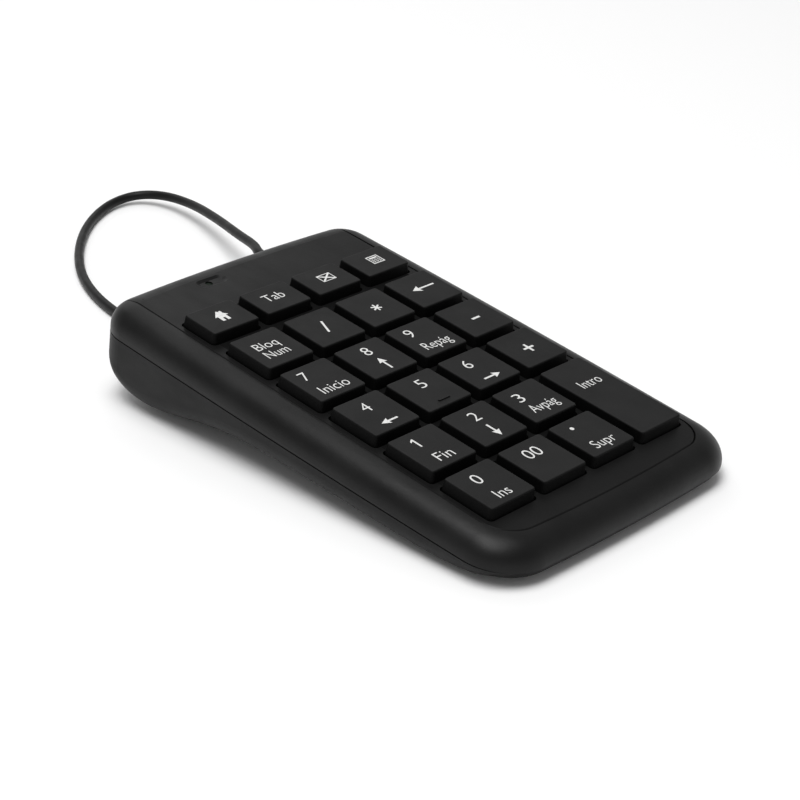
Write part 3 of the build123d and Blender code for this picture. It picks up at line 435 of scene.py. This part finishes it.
def deck_material(grain):
    """Deck plastic, with painted shade on the ribs that stand between the keys: near black and matt there."""
    material = moulded(
        "deck_plastic", grey(0.005), grey(0.007), (0.36, 0.46), grain, 0.012 * MM, 0.14, 0.08
    )
    tree = material.node_tree
    shader = tree.nodes["Principled BSDF"]
    # painted shade: inside the key field the ribs take a near-black colour in place of the shadow between the keys
    field = painted_shade_field(tree)
    ribs = (("Base Color", "RGBA", (*grey(RIB_PAINTED_SHADE), 1)), ("Roughness", "FLOAT", RIB_ROUGHNESS))
    for name, kind, value in ribs:
        mix = tree.nodes.new("ShaderNodeMix")
        mix.data_type = kind
        factor, outside, inside = [socket for socket in mix.inputs if socket.enabled]
        result = next(socket for socket in mix.outputs if socket.enabled)
        tree.links.new(field, factor)
        tree.links.new(shader.inputs[name].links[0].from_socket, outside)
        inside.default_value = value
        tree.links.new(result, shader.inputs[name])
    return material


def keycap_material():
    """Fine matt keycap plastic with patchy roughness; painted light makes the tops lighter, painted shade makes
    the moulded sides near black.
    """
    material, shader, add_node, link = new_material("keycap_plastic")
    coordinates = add_node("ShaderNodeTexCoord")
    place = coordinates.outputs["Object"]
    facing = add_node("ShaderNodeVectorMath", operation="DOT_PRODUCT")
    facing.inputs[1].default_value = plane_axes()[2]
    link(coordinates.outputs["Normal"], facing.inputs[0])
    # painted light and shade by facing: 1 on faces turned up along the key plane's normal, 0 on the sides
    top = between(add_node, link, facing.outputs["Value"], 0, 1, 0.75, 0.97)
    mottling = noise(add_node, link, place, 11 * MM, 4, seed=3.3)
    mix = add_node("ShaderNodeMix", data_type="RGBA")
    link(top, mix.inputs["Factor"])
    # painted shade on the sides (A), painted light on the tops (B), about ten times lighter
    link(two_tone(add_node, link, mottling, grey(0.0012), grey(0.002)), mix.inputs["A"])
    link(two_tone(add_node, link, mottling, grey(0.0125), grey(0.0155)), mix.inputs["B"])
    link(mix.outputs["Result"], shader.inputs["Base Color"])
    touched = noise(add_node, link, place, 6 * MM, 5, seed=5.2)
    link(between(add_node, link, touched, 0.5, 0.62), shader.inputs["Roughness"])
    fine = noise(add_node, link, place, 0.22 * MM, 2, seed=2.2)
    coarse = noise(add_node, link, place, 1.4 * MM, 3, seed=7.1)
    surface = bump(add_node, link, coarse, 0.012 * MM, 0.7)
    surface = bump(add_node, link, fine, 0.012 * MM, 0.8, surface)
    link(surface, shader.inputs["Normal"])
    shader.inputs["Specular IOR Level"].default_value = 0.12
    return material


def print_material():
    """White pad print: slightly uneven ink with soft gloss."""
    material, shader, add_node, link = new_material("legend_ink")
    place = add_node("ShaderNodeTexCoord").outputs["Object"]
    cover = noise(add_node, link, place, 0.5 * MM, 4, seed=1.1)
    colour = two_tone(add_node, link, cover, (0.62, 0.62, 0.61), (0.78, 0.78, 0.77))
    link(colour, shader.inputs["Base Color"])
    link(between(add_node, link, cover, 0.5, 0.62), shader.inputs["Roughness"])
    link(bump(add_node, link, cover, 0.008 * MM, 0.6), shader.inputs["Normal"])
    return material


def cord_material():
    """Satin cable jacket: fine extrusion streaks, faint scuffs and dust."""
    material, shader, add_node, link = new_material("cord_jacket")
    place = add_node("ShaderNodeTexCoord").outputs["Object"]
    scuffs = noise(add_node, link, place, 3 * MM, 6, seed=2.4)
    link(two_tone(add_node, link, scuffs, grey(0.003), grey(0.006)), shader.inputs["Base Color"])
    link(between(add_node, link, scuffs, 0.36, 0.52), shader.inputs["Roughness"])
    streaks = noise(add_node, link, place, 0.35 * MM, 3, seed=5.6)
    waves = noise(add_node, link, place, 6 * MM, 2, seed=9.2)
    surface = bump(add_node, link, waves, 0.12 * MM, 0.5)
    surface = bump(add_node, link, streaks, 0.015 * MM, 0.6, surface)
    link(surface, shader.inputs["Normal"])
    shader.inputs["Specular IOR Level"].default_value = 0.2
    return material


def strap_material():
    """Woven hook-and-loop strap: crossed ribs of yarn, matt and slightly fuzzy."""
    material, shader, add_node, link = new_material("tie_strap")
    place = add_node("ShaderNodeTexCoord").outputs["Object"]
    fuzz = noise(add_node, link, place, 0.5 * MM, 5, seed=1.9)
    link(two_tone(add_node, link, fuzz, grey(0.012), grey(0.024)), shader.inputs["Base Color"])
    shader.inputs["Roughness"].default_value = 0.85
    surface = None
    for axis, seed in (((1, 0, 0), 0.0), ((0, 1, 1), 1.0)):
        mapping = add_node("ShaderNodeMapping")
        mapping.inputs["Scale"].default_value = axis
        mapping.inputs["Location"].default_value = (seed, seed, seed)
        link(place, mapping.inputs["Vector"])
        yarn = add_node("ShaderNodeTexWave", bands_direction="DIAGONAL")
        yarn.inputs["Scale"].default_value = 0.25 / (0.6 * MM)
        yarn.inputs["Distortion"].default_value = 0.6
        link(mapping.outputs["Vector"], yarn.inputs["Vector"])
        surface = bump(add_node, link, yarn.outputs["Fac"], 0.06 * MM, 0.7, surface)
    link(bump(add_node, link, fuzz, 0.05 * MM, 0.8, surface), shader.inputs["Normal"])
    shader.inputs["Sheen Weight"].default_value = 0.3
    return material


def metal(name, colour, rough, brushed=(1, 1, 1), scratch=0.004 * MM):
    """Bare or plated metal with fine drawn lines and uneven polish."""
    material, shader, add_node, link = new_material(name)
    place = add_node("ShaderNodeTexCoord").outputs["Object"]
    lines = noise(add_node, link, place, 0.25 * MM, 4, brushed, seed=3.7)
    patches = noise(add_node, link, place, 3 * MM, 4, seed=6.8)
    darker = tuple(0.82 * value for value in colour)
    link(two_tone(add_node, link, patches, darker, colour), shader.inputs["Base Color"])
    link(between(add_node, link, patches, *rough), shader.inputs["Roughness"])
    link(bump(add_node, link, lines, scratch, 0.7), shader.inputs["Normal"])
    shader.inputs["Metallic"].default_value = 1.0
    return material


def board_material():
    """Green solder mask with paler copper tracks under it."""
    material, shader, add_node, link = new_material("circuit_board")
    place = add_node("ShaderNodeTexCoord").outputs["Object"]
    tracks = add_node("ShaderNodeTexBrick")
    tracks.inputs["Scale"].default_value = 1 / (6 * MM)
    tracks.inputs["Mortar Size"].default_value = 0.05
    tracks.inputs["Color1"].default_value = (0.006, 0.05, 0.02, 1)
    tracks.inputs["Color2"].default_value = (0.008, 0.06, 0.024, 1)
    tracks.inputs["Mortar"].default_value = (0.03, 0.15, 0.06, 1)
    link(place, tracks.inputs["Vector"])
    link(tracks.outputs["Color"], shader.inputs["Base Color"])
    patches = noise(add_node, link, place, 2 * MM, 4, seed=2.0)
    link(between(add_node, link, patches, 0.25, 0.4), shader.inputs["Roughness"])
    link(bump(add_node, link, tracks.outputs["Fac"], 0.035 * MM, 0.6), shader.inputs["Normal"])
    return material


def clear_material(name, colour, rough, transmission, specular=0.5):
    """Clear or tinted moulded plastic with faint flow lines."""
    material, shader, add_node, link = new_material(name)
    place = add_node("ShaderNodeTexCoord").outputs["Object"]
    flow = noise(add_node, link, place, 1.2 * MM, 3, (1, 1, 0.3), seed=4.4)
    darker = tuple(0.8 * value for value in colour)
    link(two_tone(add_node, link, flow, darker, colour), shader.inputs["Base Color"])
    link(between(add_node, link, flow, *rough), shader.inputs["Roughness"])
    link(bump(add_node, link, flow, 0.01 * MM, 0.5), shader.inputs["Normal"])
    shader.inputs["Transmission Weight"].default_value = transmission
    shader.inputs["Specular IOR Level"].default_value = specular
    return material


def assign_materials():
    """Give every CAD node the material of its record slot."""
    fine = 0.24 * MM
    finishes = {
        "key_plastic": keycap_material(),
        "case_frame": moulded(
            "case_frame", grey(0.005), grey(0.0075), (0.34, 0.44), fine, 0.012 * MM, 0.2, 0.12
        ),
        "deck_plastic": deck_material(fine),
        "case_bottom": moulded(
            "case_bottom", grey(0.007), grey(0.010), (0.42, 0.54), 0.3 * MM, 0.02 * MM, 0.16, 0.14
        ),
        "guide_plastic": moulded(
            "guide_plastic", grey(0.003), grey(0.005), (0.6, 0.7), fine, 0.01 * MM, 0.3
        ),
        "dome_rubber": moulded(
            "dome_rubber", (0.42, 0.44, 0.46), (0.5, 0.52, 0.54), (0.55, 0.7), fine, 0.01 * MM
        ),
        "foil": clear_material("membrane_foil", (0.62, 0.68, 0.66), (0.15, 0.28), 0.4),
        "plate_steel": metal("plate_steel", (0.55, 0.56, 0.57), (0.32, 0.46), (1, 0.08, 1)),
        "board": board_material(),
        "chip": moulded("chip_resin", grey(0.012), grey(0.017), (0.5, 0.62), 0.12 * MM, 0.01 * MM),
        "header_plastic": moulded(
            "header_plastic", (0.6, 0.57, 0.48), (0.68, 0.65, 0.56), (0.42, 0.52), fine, 0.01 * MM
        ),
        "lamp": clear_material("lamp_epoxy", (0.006, 0.012, 0.007), (0.5, 0.6), 0.2, 0.08),
        "screw_steel": metal("screw_steel", (0.32, 0.33, 0.34), (0.28, 0.42), (1, 1, 0.2)),
        "spring_steel": metal("spring_steel", (0.6, 0.6, 0.6), (0.22, 0.34), (1, 0.1, 1)),
        "foot_rubber": moulded(
            "foot_rubber", grey(0.014), grey(0.022), (0.7, 0.85), 0.35 * MM, 0.03 * MM, 0.3, 0.2
        ),
        "cord_jacket": cord_material(),
        "tie_strap": strap_material(),
        "plug_grip": moulded(
            "plug_grip", grey(0.009), grey(0.013), (0.42, 0.54), 0.26 * MM, 0.016 * MM, 0.45, 0.15
        ),
        "plug_shell": metal("plug_shell", (0.72, 0.72, 0.71), (0.2, 0.34), (1, 0.1, 1)),
        "plug_insert": moulded("plug_insert", grey(0.5), grey(0.6), (0.4, 0.5), fine, 0.008 * MM),
        "plug_gold": metal("plug_gold", (0.86, 0.62, 0.25), (0.18, 0.3), (1, 0.1, 1)),
    }
    for part in frame["record"]["subparts"]:
        node = NODES[part["node"]]
        node.data.materials.clear()
        node.data.materials.append(finishes[part["material_slot"]])
    return finishes


# --- Cord -----------------------------------------------------------------------------------------
def hank_point(angle, radius, height):
    """Point for a turn: an angle round the nearer end, counted anticlockwise from +X.

    Control points stand a little outside the circle that the curve follows.
    """
    middle = HANK_RIGHT if math.cos(angle) > 0 else HANK_LEFT
    reach = radius / math.cos(math.radians(HANK_STEP / 2))
    return (middle + reach * math.cos(angle), HANK_MIDDLE_Y + reach * math.sin(angle), height)


def hank_route():
    """Control points of the tied turns, from the left end, anticlockwise from above.

    The first turn lies outside and low, then moves in; the second rises on the way back; the
    third opens out over the first; the last part runs out over the front side to the plug.
    """
    loose = random.Random(11)
    points = []
    # radius at the left end, radius round the right end, height there, then radius and height after it
    turns = (
        (HANK_OUTER, HANK_OUTER, HANK_LOW, HANK_INNER, HANK_LOW),
        (HANK_INNER, HANK_INNER, HANK_LOW, HANK_INNER, HANK_HIGH),
        (HANK_INNER, HANK_OUTER, HANK_HIGH, HANK_OUTER, HANK_HIGH),
    )
    half_step = HANK_STEP / 2
    for first, opened, height, last, last_height in turns:
        for k in range(3):
            points.append(hank_point(math.radians(180 + half_step + HANK_STEP * k), first, height))
        for k in range(6):
            radius = first + (opened - first) * k / 5 + loose.uniform(-HANK_SLACK, HANK_SLACK)
            points.append(hank_point(math.radians(-90 + half_step + HANK_STEP * k), radius, height))
        for share, radius in zip(HANK_SHIFT, (opened, last)):
            x = HANK_RIGHT + share * (HANK_LEFT - HANK_RIGHT)
            points.append((x, HANK_MIDDLE_Y + radius, last_height))
        for k in range(3):
            radius = last + loose.uniform(-HANK_SLACK, HANK_LEFT_SLACK)
            points.append(hank_point(math.radians(90 + half_step + HANK_STEP * k), radius, last_height))
    for k in range(3):
        angle = math.radians(180 + half_step + HANK_STEP * k)
        points.append(hank_point(angle, HANK_OUTER, HANK_HIGH))
    return points


def make_cord(material):
    """The whole free cord as one smooth curve, from the strain relief to the plug."""
    route = [*CORD_ROUTE, *hank_route(), *TAIL_ROUTE]
    curve = bpy.data.curves.new("usb_cord_line", "CURVE")
    curve.dimensions = "3D"
    curve.bevel_depth = CORD_RADIUS * MM
    curve.bevel_resolution = 8
    curve.use_fill_caps = True
    spline = curve.splines.new("NURBS")
    spline.points.add(len(route) - 1)
    for point, place in zip(spline.points, route):
        point.co = (*[MM * value for value in place], 1)
    spline.order_u = 3
    spline.use_endpoint_u = True
    spline.resolution_u = 10
    curve.materials.append(material)
    cord = bpy.data.objects.new("free_cord", curve)
    bpy.context.scene.collection.objects.link(cord)
    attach(cord, "case")
    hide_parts("usb_cord", "cord_tail", "cord_hank")
    return cord


# --- Meshes of the scene's own --------------------------------------------------------------------
def add_object(name, mesh, body, material):
    """Link a mesh as a piece that rides on a body."""
    piece = bpy.data.objects.new(name, mesh)
    mesh.materials.append(material)
    bpy.context.scene.collection.objects.link(piece)
    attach(piece, body)
    return piece


def plane_axes():
    """The key plane's directions: right, rearward and outward, from the keys' press axis."""
    outward = -Vector(JOINTS["key_7_press"]["axis"]).normalized()
    right = Vector((1, 0, 0))
    return right, outward.cross(right), outward


def key_top(name):
    """Matrix from a key's own millimetres, centred on its top, to the part's frame."""
    right, rearward, outward = plane_axes()
    corners = [vertex.co for vertex in NODES[f"key_{name}"].data.vertices]
    level = max(vertex.co.dot(outward) for vertex in NODES["key_7"].data.vertices)
    along = [corner.dot(rearward) for corner in corners]
    across = [corner.dot(right) for corner in corners]
    centre = (
        right * (min(across) + max(across)) / 2
        + rearward * (min(along) + max(along)) / 2
        + outward * level
    )
    axes = Matrix((right, rearward, outward)).transposed().to_4x4()
    return Matrix.Translation(centre) @ axes @ Matrix.Scale(MM, 4)


def flat_shape(bm, outline, holes=()):
    """Raised plate from an outline and holes, all given as lists of flat points."""
    edges = []
    for loop in (outline, *holes):
        points = [bm.verts.new((x, y, 0)) for x, y in loop]
        for start, end in zip(points, points[1:] + points[:1]):
            edges.append(bm.edges.new((start, end)))
    faces = bmesh.ops.triangle_fill(bm, use_beauty=True, use_dissolve=False, edges=edges)
    flat = [item for item in faces["geom"] if isinstance(item, bmesh.types.BMFace)]
    raised = bmesh.ops.extrude_face_region(bm, geom=flat)
    top = [item for item in raised["geom"] if isinstance(item, bmesh.types.BMVert)]
    bmesh.ops.translate(bm, verts=top, vec=(0, 0, PRINT_THICKNESS))


def bar_outline(start, end, width):
    """Four corners of a straight stroke."""
    start, end = Vector(start), Vector(end)
    along = (end - start).normalized()
    side = Vector((-along.y, along.x)) * width / 2
    return [start + side, start - side, end - side, end + side]


def arrow_outline(tip, tail, head, half):
    """Seven corners of an arrow."""
    tip, tail = Vector(tip), Vector(tail)
    along = (tip - tail).normalized()
    side = Vector((-along.y, along.x))
    neck = tip - along * head
    inner_neck = neck + along * ARROW_NOTCH
    shaft = side * ARROW_SHAFT / 2
    return [
        tip,
        neck + side * half,
        inner_neck + shaft,
        tail + shaft,
        tail - shaft,
        inner_neck - shaft,
        neck - side * half,
    ]


def inset(triangle, distance):
    """The triangle with every side moved inwards by a distance."""
    a, b, c = triangle
    sides = ((b - c).length, (c - a).length, (a - b).length)
    inner = (a * sides[0] + b * sides[1] + c * sides[2]) / sum(sides)
    area = abs((b - a).cross(c - a)) / 2
    scale = 1 - distance * sum(sides) / (2 * area)
    return [inner + (corner - inner) * scale for corner in triangle]


def box_outline(low_x, low_y, high_x, high_y):
    """Four corners of a rectangle."""
    return [(low_x, low_y), (high_x, low_y), (high_x, high_y), (low_x, high_y)]


def draw_star(bm):
    """Six-armed star, as one outline of thin arms."""
    outline = []
    centre = Vector(STAR_CENTRE)
    for k in range(6):
        angle = math.radians(90 + 60 * k)
        along = Vector((math.cos(angle), math.sin(angle)))
        side = Vector((-along.y, along.x)) * STAR_WIDTH / 2
        gap = angle + math.radians(30)
        outline.append(centre + along * STAR_RADIUS - side)
        outline.append(centre + along * STAR_RADIUS + side)
        outline.append(centre + Vector((math.cos(gap), math.sin(gap))) * STAR_WIDTH)
    flat_shape(bm, outline)


def draw_plus(bm):
    """Upright cross, as one outline."""
    outline = []
    half = PLUS_WIDTH / 2
    for k in range(4):
        turn = Matrix.Rotation(math.radians(90 * k), 2)
        for point in ((PLUS_RADIUS, -half), (PLUS_RADIUS, half), (half, half)):
            outline.append(Vector(PLUS_CENTRE) + turn @ Vector(point))
    flat_shape(bm, outline)


def draw_house(bm):
    """Solid house with a pitched roof, a chimney and a door."""
    wide, high = HOUSE_SCALE
    flat_shape(bm, [(wide * x, high * y) for x, y in HOUSE_OUTLINE])


def draw_envelope(bm):
    """Outlined envelope with its four folds: a plate with four triangular windows."""
    outline = [Vector(corner) for corner in box_outline(*ENVELOPE_BOX)]
    middle = (outline[0] + outline[2]) / 2
    pairs = zip(outline, outline[1:] + outline[:1])
    windows = [inset((start, end, middle), ENVELOPE_LINE) for start, end in pairs]
    flat_shape(bm, outline, windows)


def draw_calculator(bm):
    """Outlined calculator with a display and three rows of buttons."""
    low_x, low_y, high_x, high_y = CALCULATOR_BOX
    line = CALCULATOR_LINE
    inner = box_outline(low_x + line, low_y + line, high_x - line, high_y - line)
    flat_shape(bm, box_outline(*CALCULATOR_BOX), [inner])
    top = high_y - DISPLAY_TOP
    flat_shape(
        bm, box_outline(low_x + DISPLAY_SIDE, top - DISPLAY_HEIGHT, high_x - DISPLAY_SIDE, top)
    )
    for column in range(3):
        for row in range(3):
            x = low_x + BUTTON_FIRST[0] + BUTTON_PITCH[0] * column
            y = low_y + BUTTON_FIRST[1] + BUTTON_PITCH[1] * row
            flat_shape(bm, box_outline(x, y, x + BUTTON_SIZE[0], y + BUTTON_SIZE[1]))


def draw_one(bm):
    """Figure one: an upright stem with a flag."""
    flat_shape(bm, ONE_OUTLINE)


def draw_dot(bm):
    """Decimal point."""
    x, y = DOT_CENTRE
    angles = [2 * math.pi * k / DOT_CORNERS for k in range(DOT_CORNERS)]
    flat_shape(bm, [(x + DOT_RADIUS * math.cos(a), y + DOT_RADIUS * math.sin(a)) for a in angles])


def text_mesh(name, text):
    """Mesh of a word in the built-in face, flat and unit sized, raised by the print's thickness."""
    curve = bpy.data.curves.new(name, "FONT")
    curve.body = text
    curve.resolution_u = 6
    curve.extrude = PRINT_THICKNESS / 2
    curve.offset = -LETTER_THINNING
    source = bpy.data.objects.new(name, curve)
    bpy.context.scene.collection.objects.link(source)
    bpy.context.view_layer.update()
    graph = bpy.context.evaluated_depsgraph_get()
    mesh = bpy.data.meshes.new_from_object(source.evaluated_get(graph))
    bpy.data.objects.remove(source)
    bpy.data.curves.remove(curve)
    return mesh


def draw_texts(material):
    """Every word and figure, fitted to its place on its key."""
    capital = text_mesh("capital", "H")
    capital_height = max(vertex.co.y for vertex in capital.vertices)
    bpy.data.meshes.remove(capital)
    for count, (key, text, left, base, height, width) in enumerate(TEXTS):
        mesh = text_mesh(f"print_text_{count}", text)
        low = min(vertex.co.x for vertex in mesh.vertices)
        high = max(vertex.co.x for vertex in mesh.vertices)
        fit = (
            Matrix.Translation((left, base, PRINT_THICKNESS / 2))
            @ Matrix.Diagonal((width / (high - low), height / capital_height, 1, 1))
            @ Matrix.Translation((-low, 0, 0))
        )
        mesh.transform(key_top(key) @ fit)
        add_object(f"print_{key}_{count}", mesh, f"cap_{key}", material)


def draw_symbols(material):
    """Arrows, signs and small pictures, one raised mesh per key."""
    drawings = {}
    for key, tip, tail, head, half in ARROWS:
        drawings.setdefault(key, []).append((flat_shape, arrow_outline(tip, tail, head, half)))
    for key, start, end, width in STROKES:
        drawings.setdefault(key, []).append((flat_shape, bar_outline(start, end, width)))
    pictures = (
        ("multiply", draw_star),
        ("plus", draw_plus),
        ("home", draw_house),
        ("mail", draw_envelope),
        ("calculator", draw_calculator),
        ("decimal", draw_dot),
        ("1", draw_one),
    )
    for key, draw in pictures:
        drawings.setdefault(key, []).append((draw,))
    for key, steps in drawings.items():
        bm = bmesh.new()
        for draw, *values in steps:
            draw(bm, *values)
        bmesh.ops.recalc_face_normals(bm, faces=bm.faces)
        bm.transform(key_top(key))
        mesh = bpy.data.meshes.new(f"print_{key}_symbol")
        bm.to_mesh(mesh)
        bm.free()
        add_object(f"print_{key}_symbol", mesh, f"cap_{key}", material)


# --- Rubber domes ---------------------------------------------------------------------------------
def mesh_from_faces(name, source, faces):
    """Mesh of some of another mesh's faces."""
    used = sorted({corner for face in faces for corner in face.vertices})
    number = {corner: k for k, corner in enumerate(used)}
    places = [source.vertices[corner].co for corner in used]
    mesh = bpy.data.meshes.new(name)
    mesh.from_pydata(places, [], [[number[corner] for corner in face.vertices] for face in faces])
    return mesh


def add_rubber(name, source, faces, material):
    """Some of the rubber sheet's faces as a piece of their own."""
    piece = add_object(name, mesh_from_faces(name, source, faces), "case", material)
    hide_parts("dome_sheet")
    return piece


def make_domes(material):
    """The rubber sheet and its domes, apart: one piece for each key's dome, and the flat sheet round them."""
    _, _, outward = plane_axes()
    source = NODES["dome_sheet"].data
    keys = [name.removeprefix("key_") for name in NODES if f"{name}_press" in JOINTS]
    tops = {key: key_top(key).translation for key in keys}
    domes = {key: [] for key in keys}
    flat = []
    for face in source.polygons:
        nearest = min(keys, key=lambda key: (face.center - tops[key]).cross(outward).length)
        corners = [source.vertices[corner].co for corner in face.vertices]
        reach = max((corner - tops[nearest]).cross(outward).length for corner in corners)
        (domes[nearest] if reach < DOME_REACH else flat).append(face)
    add_rubber("rubber_sheet", source, flat, material)
    for key in keys:
        dome = add_rubber(f"rubber_dome_{key}", source, domes[key], material)
        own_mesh(dome)


# --- Strap round the hank -------------------------------------------------------------------------
def add_band(bm, profile, low_x, high_x, closed):
    """Strip of faces along a profile in y and z, from one x to another."""
    steps = 4
    rows = []
    for y, z in profile:
        xs = [low_x + (high_x - low_x) * k / steps for k in range(steps + 1)]
        rows.append([bm.verts.new((x, y, z)) for x in xs])
    pairs = list(zip(rows, rows[1:]))
    if closed:
        pairs.append((rows[-1], rows[0]))
    for first, second in pairs:
        for k in range(steps):
            bm.faces.new((first[k], first[k + 1], second[k + 1], second[k]))


def make_strap(material):
    """Flat woven strap wrapped once round the hank, with its free end lapped over the top."""
    low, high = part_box("cord_tie")
    middle = (low + high) / 2
    corner_y = (high.y - low.y - STRAP_THICKNESS) / 2 - STRAP_CORNER
    corner_z = (high.z - low.z - STRAP_THICKNESS) / 2 - STRAP_CORNER
    profile = []
    for sign_y, sign_z, start in ((1, 1, 0), (-1, 1, 90), (-1, -1, 180), (1, -1, 270)):
        for k in range(7):
            angle = math.radians(start + 15 * k)
            y = middle.y + sign_y * corner_y + STRAP_CORNER * math.cos(angle)
            z = middle.z + sign_z * corner_z + STRAP_CORNER * math.sin(angle)
            profile.append((y, z))
    lap_z = high.z + 0.55 * STRAP_THICKNESS
    lap = [(high.y - LAP_START - LAP_LENGTH * k / LAP_STEPS, lap_z) for k in range(LAP_STEPS + 1)]
    bm = bmesh.new()
    add_band(bm, profile, low.x, high.x, closed=True)
    add_band(bm, lap, low.x + LAP_INSET, high.x - LAP_INSET, closed=False)
    mesh = bpy.data.meshes.new("hank_strap")
    bmesh.ops.recalc_face_normals(bm, faces=bm.faces)
    bm.to_mesh(mesh)
    bm.free()
    strap = add_object("hank_strap", mesh, "case", material)
    solid = strap.modifiers.new("thickness", "SOLIDIFY")
    solid.thickness = STRAP_THICKNESS
    solid.offset = 0
    edge = strap.modifiers.new("edge", "BEVEL")
    edge.width = STRAP_EDGE
    edge.segments = 2
    edge.limit_method = "ANGLE"
    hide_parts("cord_tie")
    return strap


# --- Assembly -------------------------------------------------------------------------------------
make_camera()
make_lamps()
make_surroundings()
make_floor()
finishes = assign_materials()
cord = make_cord(finishes["cord_jacket"])
strap = make_strap(finishes["tie_strap"])
ink = print_material()
draw_texts(ink)
draw_symbols(ink)
make_domes(finishes["dome_rubber"])
